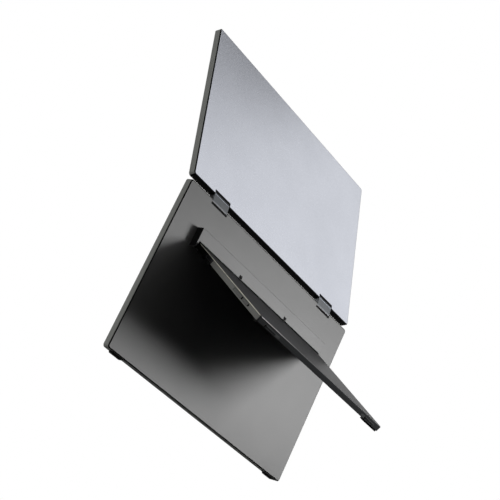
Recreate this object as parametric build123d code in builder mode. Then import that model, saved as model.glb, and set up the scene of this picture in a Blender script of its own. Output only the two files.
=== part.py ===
from build123d import *
import os
from math import atan2, cos, degrees, radians, sin, sqrt

# Foldable portable monitor: two 15.6 inch panels joined by a pair of dual-axis
# hinges, and a stand plate that swings out of the lower panel's back and holds
# the electronics. Millimetres, +Z up. The displays face -Y, and the origin lies
# on the desk under the middle of the opened monitor. Left and right are those
# of somebody who looks at the displays.

# Panels: both have the same outline and the same layers
PANEL_WIDTH = 356.0
PANEL_HEIGHT = 214.4
PANEL_THICKNESS = 8.2
CORNER_RADIUS = 3.5
RIM_CHAMFER = 1.0
RIM_LIP = 0.3
FRAME_WALL = 2.8
FRONT_LIP = 0.9
COVER_SHEET = 1.0
BEZEL_SHEET = 0.7
SIDE_BEZEL = 5.9
HINGE_BEZEL = 9.0
FAR_BEZEL = 11.8
CELL_BORDER = 1.2
CELL_THICKNESS = 1.1
BACKLIGHT_THICKNESS = 2.0
BOARD_THICKNESS = 1.0
DRIVER_BOARD_SIDE_GAP = 47.0
DRIVER_BOARD_WIDTH = 17.0
DRIVER_BOARD_EDGE_GAP = 9.0
DRIVER_CHIP_SIZE = (14.0, 8.0, 1.1)
DRIVER_CHIP_COUNT = 6
DRIVER_CHIP_PITCH = 40.0
FACE_GAP = 0.05
CUT_PAST = 4.0

# Rubber pads that keep the folded displays apart
BUMPER_LENGTH = 14.0
BUMPER_WIDTH = 3.0
BUMPER_HEIGHT = 0.35
BUMPER_EDGE_GAP = 4.5
BUMPER_CORNER_GAP = 20.0

# Fold hinges: each link turns on one shaft in each panel, so that the panels
# close face to face and open past flat
OPENING_ANGLE = 160.0
HINGE_SIDE_GAP = 58.0
AXIS_SPACING = 8.9
AXIS_INSET = 1.6
AXIS_DEPTH = 4.1
LINK_RADIUS = 3.8
LINK_LENGTH = 30.0
LINK_SIDE_GAP = 0.5
LINK_END_GAP = 0.35
NOTCH_BACK_DEPTH = 4.3
BOSS_WALL = 7.0
BOSS_BACKING = 1.0
SHAFT_RADIUS = 1.1
SHAFT_GRIP = 5.5
SHAFT_FLAT = 0.25
RUNNING_CLEARANCE = 0.05
LINK_POCKET_RADIUS = 2.6
LINK_END_WALL = 1.4
LINK_EDGE_CHAMFER = 0.3
SLEEVE_LENGTH = 25.0
SLEEVE_SLIT = 0.6
POCKET_CLEARANCE = 0.1

# Raised block across the lower panel's back, which carries the stand
BLOCK_SIDE_GAP = 40.7
BLOCK_HEIGHT = 9.6
BLOCK_KNUCKLE_COVER = 3.9
BLOCK_DEPTH = 15.4
BLOCK_WALL = 1.4
BLOCK_BEVEL = 0.5
KNUCKLE_GAP = 0.4
EAR_WIDTH = 2.4
EAR_GAP = 0.3
ARM_X = 50.0
ARM_THICKNESS = 2.2
ARM_SLOT_GAP = 0.3
ARM_EYE_RADIUS = 3.0
ARM_NECK = 5.0
ARM_LEAF_WIDTH = 9.0
ARM_LEAF_LENGTH = 14.0
ARM_LEAF_THICKNESS = 1.2

# Stand plate: its outer face is flush with the block when it is folded away
STAND_ANGLE = 60.6
STAND_AXIS_TOP_GAP = 58.2
STAND_DEPTH = 154.0
STAND_THICKNESS = 6.9
KNUCKLE_RADIUS = 4.2
STAND_SHEET = 1.2
STAND_WALL = 1.5
STAND_CORNER_RADIUS = 1.8
STAND_EDGE_BEVEL = 0.7
STAND_COVER_SHEET = 1.0
STAND_COVER_INSET = 0.7
STAND_COVER_START = 6.0
CAVITY_START = 8.0
STAND_SHAFT_RADIUS = 1.5
STAND_SHAFT_GRIP = 1.5
POST_WIDTH = 4.6

# Keys in the stand's right side wall
KEY_HEIGHT = 2.6
KEY_CORNER = 0.6
KEY_GAP = 0.25
KEY_PROUD = 0.15
KEY_BEVEL = 0.2
KEY_FLANGE = 0.6
KEY_FLANGE_THICKNESS = 0.8
KEY_SEAT_GAP = 0.45
KEY_LEVEL = 0.6
POWER_KEY_START = 116.0
POWER_KEY_LENGTH = 12.0
ROCKER_START = 96.3
ROCKER_LENGTH = 17.4
SWITCH_GAP = 0.5
SWITCH_SIZE = (3.4, 3.0, 1.6)
SWITCH_END_GAP = 3.0

# Sockets and sound
SOCKET_LEVEL = 0.7
SOCKET_RECESS = 0.4
SOCKET_WALL = 0.3
SOCKET_GAP = 0.1
SOCKET_MOUTH = 6.0
SOCKET_TONGUE = 4.6
SOCKET_TONGUE_THICKNESS = 0.7
HDMI_START = 26.0
HDMI_BODY = (15.4, 3.6)
HDMI_MOUTH = (10.6, 2.6)
HDMI_DEPTH = 7.5
USB_FIRST = 34.0
USB_PITCH = 22.0
USB_SHELL = (8.94, 3.26)
USB_DEPTH = 7.3
SPEAKER_SIDE_GAP = 31.2
SPEAKER_LEVEL = -0.1
SPEAKER_SLOT_LENGTH = 22.0
SPEAKER_SLOT_HEIGHT = 1.8
SPEAKER_SIZE = (32.0, 14.0, 3.4)
SPEAKER_WALL_GAP = 0.3
GRILLE_RECESS = 0.4
GRILLE_THICKNESS = 0.8

# Boards in the stand
MAIN_BOARD_SIDE_GAP = 3.6
MAIN_BOARD_LENGTH = 70.0
MAIN_BOARD_START = 20.0
BOARD_STANDOFF = 0.7
BOARD_POST_SIDE_GAP = 19.0
BOARD_POST_EDGE_GAP = 6.0
SCALER_SIZE = (19.0, 19.0, 1.1)
SPREADER_SIZE = (60.0, 50.0, 0.5)
CHIP_SIZE = (7.0, 5.0, 1.2)
CHIP_COLUMNS = (45.0, 70.0, 95.0)
CHIP_SPACING = 20.0
CHIP_ROWS = 3
KEY_BOARD_SIDE_GAP = 3.6
KEY_BOARD_WIDTH = 9.0
KEY_BOARD_START = 94.0
KEY_BOARD_END = 130.0
PAD_X = 60.0
PAD_SIZE = 6.0
COVER_POST_SIDE_GAP = 7.0
COVER_POST_START = 14.0

# Feet
PANEL_FOOT_START = 10.0
PANEL_FOOT_LENGTH = 20.0
PANEL_FOOT_HEIGHT = 2.0
PANEL_FOOT_BACK_GAP = 1.2
PANEL_FOOT_DEPTH = 5.6
PANEL_FOOT_SLOPE = 1.2
STAND_FOOT_HEIGHT = 2.2
STAND_FOOT_LENGTH = 30.0
STAND_FOOT_WIDTH = 6.0
STAND_FOOT_SIDE_GAP = 2.0
STAND_FOOT_EDGE_GAP = 0.6
HINGE_FOOT_WIDTH = 5.0
HINGE_FOOT_SIDE_GAP = 1.5
HINGE_FEET = ((10.0, 12.0), (34.0, 5.0))
FLOOR_FLAT = 0.5

# Values that follow from the ones above
SIDES = (-1, 1)
FOLD = radians(180.0 - OPENING_ANGLE)
STAND_WAY = radians(STAND_ANGLE)
NOTCH_WIDTH = LINK_LENGTH + 2 * LINK_SIDE_GAP
NOTCH_RADIUS = LINK_RADIUS + LINK_END_GAP
NOTCH_FRONT_DEPTH = AXIS_INSET + NOTCH_RADIUS
BOSS_DEPTH = NOTCH_FRONT_DEPTH + BOSS_BACKING
SHAFT_END = NOTCH_WIDTH / 2 + SHAFT_GRIP
COVER_INSET = RIM_CHAMFER + RIM_LIP
FRONT_LEVEL = -PANEL_THICKNESS
CELL_LEVEL = FRONT_LEVEL + BEZEL_SHEET
BACKLIGHT_LEVEL = CELL_LEVEL + CELL_THICKNESS
BOARD_LEVEL = BACKLIGHT_LEVEL + BACKLIGHT_THICKNESS
ACTIVE_WIDTH = PANEL_WIDTH - 2 * SIDE_BEZEL
ACTIVE_HEIGHT = PANEL_HEIGHT - HINGE_BEZEL - FAR_BEZEL
ACTIVE_MIDDLE = HINGE_BEZEL + ACTIVE_HEIGHT / 2
DRIVER_BOARD_LENGTH = PANEL_WIDTH - 2 * DRIVER_BOARD_SIDE_GAP
HINGE_X = PANEL_WIDTH / 2 - HINGE_SIDE_GAP
STAND_AXIS_Y = PANEL_HEIGHT - STAND_AXIS_TOP_GAP
BLOCK_LOW_EDGE = STAND_AXIS_Y + BLOCK_KNUCKLE_COVER
BLOCK_TOP_EDGE = BLOCK_LOW_EDGE + BLOCK_DEPTH
BLOCK_HALF_WIDTH = PANEL_WIDTH / 2 - BLOCK_SIDE_GAP
STAND_HALF_WIDTH = BLOCK_HALF_WIDTH - EAR_WIDTH - EAR_GAP
COVE_RADIUS = KNUCKLE_RADIUS + KNUCKLE_GAP
COVE_BACK = STAND_AXIS_Y + COVE_RADIUS
EAR_INNER = STAND_HALF_WIDTH + EAR_GAP
STAND_AXIS_Z = BLOCK_HEIGHT - KNUCKLE_RADIUS
STAND_INNER_LEVEL = KNUCKLE_RADIUS - STAND_THICKNESS
STAND_FLOOR_LEVEL = STAND_INNER_LEVEL - STAND_FOOT_HEIGHT
STAND_SHEET_LEVEL = KNUCKLE_RADIUS - STAND_SHEET
STAND_COVER_LEVEL = STAND_INNER_LEVEL + STAND_COVER_SHEET
MAIN_BOARD_LEVEL = STAND_COVER_LEVEL + BOARD_STANDOFF
MAIN_BOARD_TOP = MAIN_BOARD_LEVEL + BOARD_THICKNESS
MAIN_BOARD_EDGE = STAND_HALF_WIDTH - MAIN_BOARD_SIDE_GAP
MAIN_BOARD_END = MAIN_BOARD_START + MAIN_BOARD_LENGTH
MAIN_BOARD_MIDDLE = MAIN_BOARD_START + MAIN_BOARD_LENGTH / 2
BOARD_POST_X = MAIN_BOARD_EDGE - BOARD_POST_SIDE_GAP
KEY_BOARD_X = STAND_HALF_WIDTH - KEY_BOARD_SIDE_GAP - KEY_BOARD_WIDTH / 2
SPEAKER_X = STAND_HALF_WIDTH - SPEAKER_SIDE_GAP
KEY_FLANGE_FACE = STAND_HALF_WIDTH - STAND_WALL - KEY_SEAT_GAP
KEY_BACK = KEY_FLANGE_FACE - KEY_FLANGE_THICKNESS
HDMI_SPOTS = [HDMI_START + HDMI_BODY[0] / 2]
USB_SPOTS = [USB_FIRST, USB_FIRST + USB_PITCH]
COVER_POST_SPOTS = [
    (side * (STAND_HALF_WIDTH - COVER_POST_SIDE_GAP), y)
    for side in SIDES
    for y in (COVER_POST_START, STAND_DEPTH - COVER_POST_SIDE_GAP)
]
BOARD_POST_SPOTS = [
    (side * BOARD_POST_X, y)
    for side in SIDES
    for y in (MAIN_BOARD_START + BOARD_POST_EDGE_GAP, MAIN_BOARD_END - BOARD_POST_EDGE_GAP)
]
BOARD_PAD_SPOTS = [
    (side * PAD_X, y)
    for side in SIDES
    for y in (MAIN_BOARD_START + PAD_SIZE, MAIN_BOARD_END - PAD_SIZE)
] + [(KEY_BOARD_X, y) for y in (KEY_BOARD_START + PAD_SIZE, KEY_BOARD_END - PAD_SIZE)]

# The lower panel leans so that its rubber feet and the stand's touch one desk
foot_end = STAND_DEPTH - STAND_FOOT_EDGE_GAP
stand_contact = (
    STAND_AXIS_Y - foot_end * cos(STAND_WAY) + STAND_FLOOR_LEVEL * sin(STAND_WAY),
    STAND_AXIS_Z + foot_end * sin(STAND_WAY) + STAND_FLOOR_LEVEL * cos(STAND_WAY),
)
panel_contact = (-PANEL_FOOT_HEIGHT, -PANEL_FOOT_BACK_GAP)
LEAN = atan2(stand_contact[1] - panel_contact[1], stand_contact[0] - panel_contact[0])
floor_level = panel_contact[0] * sin(LEAN) - panel_contact[1] * cos(LEAN) + FLOOR_FLAT

# The stand's rearmost edge and the lower panel's foremost one lie evenly about the origin
face_end = STAND_DEPTH - STAND_EDGE_BEVEL
stand_back = (
    STAND_AXIS_Y - face_end * cos(STAND_WAY) + KNUCKLE_RADIUS * sin(STAND_WAY),
    STAND_AXIS_Z + face_end * sin(STAND_WAY) + KNUCKLE_RADIUS * cos(STAND_WAY),
)
back_reach = stand_back[0] * cos(LEAN) + stand_back[1] * sin(LEAN)
front_reach = FRONT_LEVEL * sin(LEAN)


def leaning(origin, angle, x_way):
    """Plane at the back of something that leans at this angle from the desk, z outwards."""
    return Plane(origin=origin, x_dir=(x_way, 0, 0), z_dir=(0, sin(angle), -cos(angle)))


def section(plane, x=0.0):
    """Plane across another one at x: its own x and y are the other's y and z."""
    return Plane(
        origin=plane.from_local_coords((x, 0, 0)), x_dir=plane.y_dir, z_dir=plane.x_dir
    )


# y runs up the lower panel from its bottom edge, z out of its back
LOWER = leaning((0, -(back_reach + front_reach) / 2, -floor_level), LEAN, -1)
# In both panel planes y runs from the hinge edge to the far one, z out of the back
LOWER_PANEL = leaning(LOWER.from_local_coords((0, PANEL_HEIGHT, 0)), LEAN, 1)
LOWER_AXIS = (PANEL_HEIGHT - AXIS_INSET, -AXIS_DEPTH)
UPPER_AXIS = (
    LOWER_AXIS[0] + AXIS_SPACING * cos(FOLD / 2),
    LOWER_AXIS[1] - AXIS_SPACING * sin(FOLD / 2),
)
upper_edge = (
    UPPER_AXIS[0] - AXIS_INSET * cos(FOLD) + AXIS_DEPTH * sin(FOLD),
    UPPER_AXIS[1] + AXIS_INSET * sin(FOLD) + AXIS_DEPTH * cos(FOLD),
)
UPPER_PANEL = leaning(LOWER.from_local_coords((0, *upper_edge)), LEAN + FOLD, -1)
# y runs from the lower fold axis to the upper one
LINK = leaning(LOWER.from_local_coords((0, *LOWER_AXIS)), LEAN + FOLD / 2, -1)
# y runs from the stand's axis to its free edge, z out of its outer face
STAND = leaning(
    LOWER.from_local_coords((0, STAND_AXIS_Y, STAND_AXIS_Z)), LEAN + STAND_WAY, 1
)


def save(piece, name):
    """Label a finished piece and write it to its own STEP file."""
    piece.part.label = name
    export_step(piece.part, f"parts/{name}.step")


def outer_face(piece, plane):
    """The face of a piece that lies furthest along a plane's z."""
    return piece.faces().sort_by(Axis(plane.origin, plane.z_dir))[-1]


def panel_outline(inset):
    """Draw a panel's outline, inset evenly, in the sketch that is open."""
    with Locations((0, PANEL_HEIGHT / 2)):
        RectangleRounded(PANEL_WIDTH - 2 * inset, PANEL_HEIGHT - 2 * inset, CORNER_RADIUS - inset)


def notch_profile(panel, side):
    """Hinge notch from its end: shallow at the back, round and deeper towards the front."""
    reach = NOTCH_BACK_DEPTH - AXIS_INSET
    rise = sqrt(NOTCH_RADIUS**2 - reach**2)
    with BuildSketch(section(panel, side * HINGE_X)) as profile:
        with BuildLine():
            Polyline(
                (NOTCH_FRONT_DEPTH, -AXIS_DEPTH),
                (NOTCH_FRONT_DEPTH, FRONT_LEVEL - CUT_PAST),
                (-CUT_PAST, FRONT_LEVEL - CUT_PAST),
                (-CUT_PAST, CUT_PAST),
                (NOTCH_BACK_DEPTH, CUT_PAST),
                (NOTCH_BACK_DEPTH, rise - AXIS_DEPTH),
            )
            CenterArc((AXIS_INSET, -AXIS_DEPTH), NOTCH_RADIUS, 0, degrees(atan2(rise, reach)))
        make_face()
    return profile.sketch


def shaft_grip(panel, side):
    """Flatted section of a fold shaft's ends, which the panel's bosses keep from turning."""
    with BuildSketch(section(panel, side * HINGE_X)) as grip:
        with Locations((AXIS_INSET, -AXIS_DEPTH)):
            Circle(SHAFT_RADIUS)
            Rectangle(2 * (SHAFT_RADIUS - SHAFT_FLAT), 2 * SHAFT_RADIUS, mode=Mode.INTERSECT)
    return grip.sketch


def make_frame(panel, name):
    """Cast frame: wall with a bevelled rim, ledges for both skins, and the hinge bosses."""
    with BuildPart() as frame:
        with BuildSketch(panel.offset(FRONT_LEVEL)):
            panel_outline(0)
        extrude(amount=PANEL_THICKNESS)
        chamfer(outer_face(frame, panel).edges(), RIM_CHAMFER)
        with BuildSketch(panel):
            panel_outline(COVER_INSET)
        extrude(amount=-COVER_SHEET, mode=Mode.SUBTRACT)
        with BuildSketch(panel.offset(FRONT_LEVEL)):
            panel_outline(FRONT_LIP)
        extrude(amount=BEZEL_SHEET, mode=Mode.SUBTRACT)
        with BuildSketch(panel.offset(CELL_LEVEL)):
            with Locations((0, PANEL_HEIGHT / 2)):
                Rectangle(PANEL_WIDTH - 2 * FRAME_WALL, PANEL_HEIGHT - 2 * FRAME_WALL)
            with Locations(*[(side * HINGE_X, 0) for side in SIDES]):
                Rectangle(NOTCH_WIDTH + 2 * BOSS_WALL, 2 * BOSS_DEPTH, mode=Mode.SUBTRACT)
        extrude(amount=-COVER_SHEET - CELL_LEVEL, mode=Mode.SUBTRACT)
        for side in SIDES:
            extrude(notch_profile(panel, side), NOTCH_WIDTH / 2, both=True, mode=Mode.SUBTRACT)
            extrude(shaft_grip(panel, side), SHAFT_END, both=True, mode=Mode.SUBTRACT)
    save(frame, name)


def make_rear_cover(panel, name):
    """Sheet that closes the back, flush with the frame's rim."""
    with BuildPart() as cover:
        with BuildSketch(panel):
            panel_outline(COVER_INSET + FACE_GAP)
        extrude(amount=-COVER_SHEET)
        for side in SIDES:
            extrude(notch_profile(panel, side), NOTCH_WIDTH / 2, both=True, mode=Mode.SUBTRACT)
    save(cover, name)


def make_bezel(panel, name):
    """Thin front mask around the active area."""
    with BuildPart() as bezel:
        with BuildSketch(panel.offset(FRONT_LEVEL)):
            panel_outline(FRONT_LIP + FACE_GAP)
            with Locations((0, ACTIVE_MIDDLE)):
                Rectangle(ACTIVE_WIDTH, ACTIVE_HEIGHT, mode=Mode.SUBTRACT)
        extrude(amount=BEZEL_SHEET)
        for side in SIDES:
            extrude(notch_profile(panel, side), NOTCH_WIDTH / 2, both=True, mode=Mode.SUBTRACT)
    save(bezel, name)


def make_display_layer(panel, level, thickness, name):
    """One layer of the display: the glass cell, or the backlight behind it."""
    with BuildPart() as layer:
        with BuildSketch(panel.offset(level)):
            with Locations((0, ACTIVE_MIDDLE)):
                Rectangle(ACTIVE_WIDTH + 2 * CELL_BORDER, ACTIVE_HEIGHT + 2 * CELL_BORDER)
        extrude(amount=thickness)
    save(layer, name)


def make_driver_board(panel, name):
    """Display driver board on the backlight's back, along the far edge."""
    middle = PANEL_HEIGHT - DRIVER_BOARD_EDGE_GAP - DRIVER_BOARD_WIDTH / 2
    with BuildPart() as board:
        with BuildSketch(panel.offset(BOARD_LEVEL)):
            with Locations((0, middle)):
                Rectangle(DRIVER_BOARD_LENGTH, DRIVER_BOARD_WIDTH)
        extrude(amount=BOARD_THICKNESS)
        with BuildSketch(panel.offset(BOARD_LEVEL + BOARD_THICKNESS)):
            with Locations((0, middle)):
                with GridLocations(DRIVER_CHIP_PITCH, 1, DRIVER_CHIP_COUNT, 1):
                    Rectangle(DRIVER_CHIP_SIZE[0], DRIVER_CHIP_SIZE[1])
        extrude(amount=DRIVER_CHIP_SIZE[2])
    save(board, name)


def make_fold_shaft(panel, side, name):
    """Turned fold shaft, its flatted ends held in the panel's bosses."""
    with BuildPart() as shaft:
        with BuildSketch(section(panel, side * HINGE_X)):
            with Locations((AXIS_INSET, -AXIS_DEPTH)):
                Circle(SHAFT_RADIUS)
        extrude(amount=NOTCH_WIDTH / 2, both=True)
        extrude(shaft_grip(panel, side), SHAFT_END - FACE_GAP, both=True)
    save(shaft, name)


def make_panel(panel, prefix, left):
    """The pieces that both panels share; left is the plane's x way to the left hinge."""
    make_frame(panel, f"{prefix}_frame")
    make_rear_cover(panel, f"{prefix}_rear_cover")
    make_bezel(panel, f"{prefix}_bezel")
    make_display_layer(panel, CELL_LEVEL, CELL_THICKNESS, f"{prefix}_lcd_cell")
    make_display_layer(panel, BACKLIGHT_LEVEL, BACKLIGHT_THICKNESS, f"{prefix}_backlight")
    make_driver_board(panel, f"{prefix}_driver_board")
    make_fold_shaft(panel, left, f"{prefix}_shaft_left")
    make_fold_shaft(panel, -left, f"{prefix}_shaft_right")


def make_closing_bumpers():
    """Rubber pads on the upper panel's front, which meet the lower one when closed."""
    corner = PANEL_WIDTH / 2 - BUMPER_CORNER_GAP
    levels = (BUMPER_EDGE_GAP, PANEL_HEIGHT - BUMPER_EDGE_GAP)
    with BuildPart() as bumpers:
        with BuildSketch(UPPER_PANEL.offset(FRONT_LEVEL)):
            with Locations(*[(side * corner, y) for side in SIDES for y in levels]):
                Rectangle(BUMPER_LENGTH, BUMPER_WIDTH)
        extrude(amount=-BUMPER_HEIGHT)
    save(bumpers, "closing_bumpers")


def link_outline(radius):
    """Draw a pill around both fold axes in the sketch that is open."""
    with Locations((AXIS_SPACING / 2, 0)):
        SlotCenterToCenter(AXIS_SPACING, 2 * radius)


def link_bores(mode):
    """Draw both running bores in the sketch that is open."""
    with Locations((0, 0), (AXIS_SPACING, 0)):
        Circle(SHAFT_RADIUS + RUNNING_CLEARANCE, mode=mode)


def make_link(side, name):
    """Link housing: a pill-shaped sleeve around both shafts, open at its outer end."""
    middle = side * HINGE_X
    with BuildPart() as link:
        with BuildSketch(section(LINK, middle)):
            link_outline(LINK_RADIUS)
        extrude(amount=LINK_LENGTH / 2, both=True)
        ends = link.faces().sort_by(Axis(LINK.origin, LINK.x_dir))
        chamfer(ends[0].edges() + ends[-1].edges(), LINK_EDGE_CHAMFER)
        with BuildSketch(section(LINK, middle + side * LINK_LENGTH / 2)):
            link_outline(LINK_POCKET_RADIUS)
        extrude(amount=-side * (LINK_LENGTH - LINK_END_WALL), mode=Mode.SUBTRACT)
        with BuildSketch(section(LINK, middle)):
            link_bores(Mode.ADD)
        extrude(amount=LINK_LENGTH, both=True, mode=Mode.SUBTRACT)
    save(link, name)


def make_link_caps():
    """Caps that close the outer ends of both link housings."""
    with BuildPart() as caps:
        for side in SIDES:
            with BuildSketch(section(LINK, side * (HINGE_X + LINK_LENGTH / 2))):
                link_outline(LINK_POCKET_RADIUS - FACE_GAP)
                link_bores(Mode.SUBTRACT)
            extrude(amount=-side * LINK_END_WALL)
    save(caps, "link_caps")


def make_torque_sleeve(side, name):
    """Slit spring sleeve that grips both shafts, so that the displays stay where they are put."""
    with BuildPart() as sleeve:
        with BuildSketch(section(LINK, side * HINGE_X)):
            link_outline(LINK_POCKET_RADIUS - POCKET_CLEARANCE)
            link_bores(Mode.SUBTRACT)
            with Locations((AXIS_SPACING / 2, 0)):
                Rectangle(AXIS_SPACING, SLEEVE_SLIT, mode=Mode.SUBTRACT)
        extrude(amount=SLEEVE_LENGTH / 2, both=True)
    save(sleeve, name)


def make_panel_feet():
    """Rubber feet under the lower panel, pressed flat where they meet the desk."""
    middle = PANEL_WIDTH / 2 - PANEL_FOOT_START - PANEL_FOOT_LENGTH / 2
    half = PANEL_FOOT_LENGTH / 2
    with BuildPart() as feet:
        with BuildSketch(LOWER.offset(-PANEL_FOOT_BACK_GAP)):
            with Locations(*[(side * middle, 0) for side in SIDES]):
                Polygon(
                    (-half, 0),
                    (-half + PANEL_FOOT_SLOPE, -PANEL_FOOT_HEIGHT),
                    (half - PANEL_FOOT_SLOPE, -PANEL_FOOT_HEIGHT),
                    (half, 0),
                    align=None,
                )
        extrude(amount=-PANEL_FOOT_DEPTH)
        split(bisect_by=Plane.XY, keep=Keep.TOP)
    save(feet, "panel_feet")


def block_profile():
    """The block from its end, hollowed by a cove around the stand's knuckle."""
    reach = BLOCK_LOW_EDGE - STAND_AXIS_Y
    rise = sqrt(COVE_RADIUS**2 - reach**2)
    with BuildSketch(section(LOWER)) as profile:
        with BuildLine():
            Polyline(
                (BLOCK_LOW_EDGE, STAND_AXIS_Z + rise),
                (BLOCK_LOW_EDGE, BLOCK_HEIGHT),
                (BLOCK_TOP_EDGE, BLOCK_HEIGHT),
                (BLOCK_TOP_EDGE, 0),
                (COVE_BACK, 0),
                (COVE_BACK, STAND_AXIS_Z),
            )
            CenterArc((STAND_AXIS_Y, STAND_AXIS_Z), COVE_RADIUS, 0, degrees(atan2(rise, reach)))
        make_face()
    return profile.sketch


def ear_profile(side):
    """An ear beside the stand, from its end: square to the panel, round at its free corner."""
    low_end = STAND_AXIS_Y - KNUCKLE_RADIUS
    with BuildSketch(section(LOWER, side * EAR_INNER)) as profile:
        with BuildLine():
            Polyline(
                (STAND_AXIS_Y, BLOCK_HEIGHT),
                (COVE_BACK + BLOCK_WALL, BLOCK_HEIGHT),
                (COVE_BACK + BLOCK_WALL, 0),
                (low_end, 0),
                (low_end, STAND_AXIS_Z),
            )
            CenterArc((STAND_AXIS_Y, STAND_AXIS_Z), KNUCKLE_RADIUS, 90, 90)
        make_face()
    return profile.sketch


def make_stand_block():
    """Raised housing across the lower panel's back, with an ear at each end of the stand."""
    cavity_low = COVE_BACK + BLOCK_WALL
    cavity_high = BLOCK_TOP_EDGE - BLOCK_WALL
    with BuildPart() as block:
        extrude(block_profile(), BLOCK_HALF_WIDTH, both=True)
        for side in SIDES:
            extrude(ear_profile(side), side * (BLOCK_HALF_WIDTH - EAR_INNER))
        outer_edges = outer_face(block, LOWER).edges()
        along = outer_edges.filter_by(Axis(LOWER.origin, LOWER.x_dir))
        chamfer(along.sort_by(Axis(LOWER.origin, LOWER.y_dir))[-1], BLOCK_BEVEL)
        with BuildSketch(LOWER):
            with Locations((0, (cavity_low + cavity_high) / 2)):
                Rectangle(2 * (EAR_INNER - BLOCK_WALL), cavity_high - cavity_low)
        extrude(amount=BLOCK_HEIGHT - BLOCK_WALL, mode=Mode.SUBTRACT)
        with BuildSketch(LOWER):
            with Locations(*[(side * ARM_X, COVE_BACK) for side in SIDES]):
                Rectangle(ARM_THICKNESS + 2 * ARM_SLOT_GAP, 2 * BLOCK_WALL)
        extrude(amount=BLOCK_HEIGHT, mode=Mode.SUBTRACT)
        for side in SIDES:
            with BuildSketch(section(LOWER, side * EAR_INNER)):
                with Locations((STAND_AXIS_Y, STAND_AXIS_Z)):
                    Circle(STAND_SHAFT_RADIUS + RUNNING_CLEARANCE)
            extrude(amount=side * (STAND_SHAFT_GRIP + RUNNING_CLEARANCE), mode=Mode.SUBTRACT)
    save(block, "stand_block")


def make_stand_arms():
    """Steel arms: an eye around the stand's shaft, a neck, and a leaf on the lower panel."""
    leaf_start = COVE_BACK + BLOCK_WALL + ARM_SLOT_GAP
    leaf_end = leaf_start + ARM_LEAF_WIDTH
    neck_low = STAND_AXIS_Z - ARM_NECK / 2
    neck_high = STAND_AXIS_Z + ARM_NECK / 2
    with BuildPart() as arms:
        for side in SIDES:
            with BuildSketch(section(LOWER, side * ARM_X)):
                with Locations((STAND_AXIS_Y, STAND_AXIS_Z)):
                    Circle(ARM_EYE_RADIUS)
                Polygon(
                    (STAND_AXIS_Y, neck_low),
                    (leaf_start, neck_low),
                    (leaf_start, 0),
                    (leaf_end, 0),
                    (leaf_end, STAND_AXIS_Z),
                    (leaf_end - ARM_NECK / 2, neck_high),
                    (STAND_AXIS_Y, neck_high),
                    align=None,
                )
                with Locations((STAND_AXIS_Y, STAND_AXIS_Z)):
                    Circle(STAND_SHAFT_RADIUS + RUNNING_CLEARANCE, mode=Mode.SUBTRACT)
            extrude(amount=ARM_THICKNESS / 2, both=True)
        with BuildSketch(LOWER):
            for side in SIDES:
                with Locations((side * (ARM_X + ARM_LEAF_LENGTH / 2), (leaf_start + leaf_end) / 2)):
                    Rectangle(ARM_LEAF_LENGTH, ARM_LEAF_WIDTH)
        extrude(amount=ARM_LEAF_THICKNESS)
    save(arms, "stand_arms")


def stand_outline(inset, start):
    """Draw the stand's outline, inset, from a start to its free edge in the open sketch."""
    length = STAND_DEPTH - inset - start
    with Locations((0, start + length / 2)):
        RectangleRounded(2 * (STAND_HALF_WIDTH - inset), length, STAND_CORNER_RADIUS - inset)


def key_outline(start, length, margin):
    """Draw a key, grown by a margin, in the open sketch across the stand."""
    with Locations((start + length / 2, KEY_LEVEL)):
        RectangleRounded(length + 2 * margin, KEY_HEIGHT + 2 * margin, KEY_CORNER + margin / 2)


def socket_outline(spots, size, margin, mode=Mode.ADD):
    """Draw sockets with rounded ends, grown by a margin, in the open sketch across the stand."""
    with Locations(*[(spot, SOCKET_LEVEL) for spot in spots]):
        SlotOverall(size[0] + 2 * margin, size[1] + 2 * margin, mode=mode)


def speaker_slots():
    """Draw both sound slots in the open sketch on the free edge."""
    with Locations(*[(side * SPEAKER_X, -SPEAKER_LEVEL) for side in SIDES]):
        SlotOverall(SPEAKER_SLOT_LENGTH, SPEAKER_SLOT_HEIGHT)


def free_edge(depth=0.0):
    """Plane on the stand's free edge, z outwards and y towards the stand's inner face."""
    origin = STAND.from_local_coords((0, STAND_DEPTH - depth, 0))
    return Plane(origin=origin, x_dir=STAND.x_dir, z_dir=STAND.y_dir)


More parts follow.
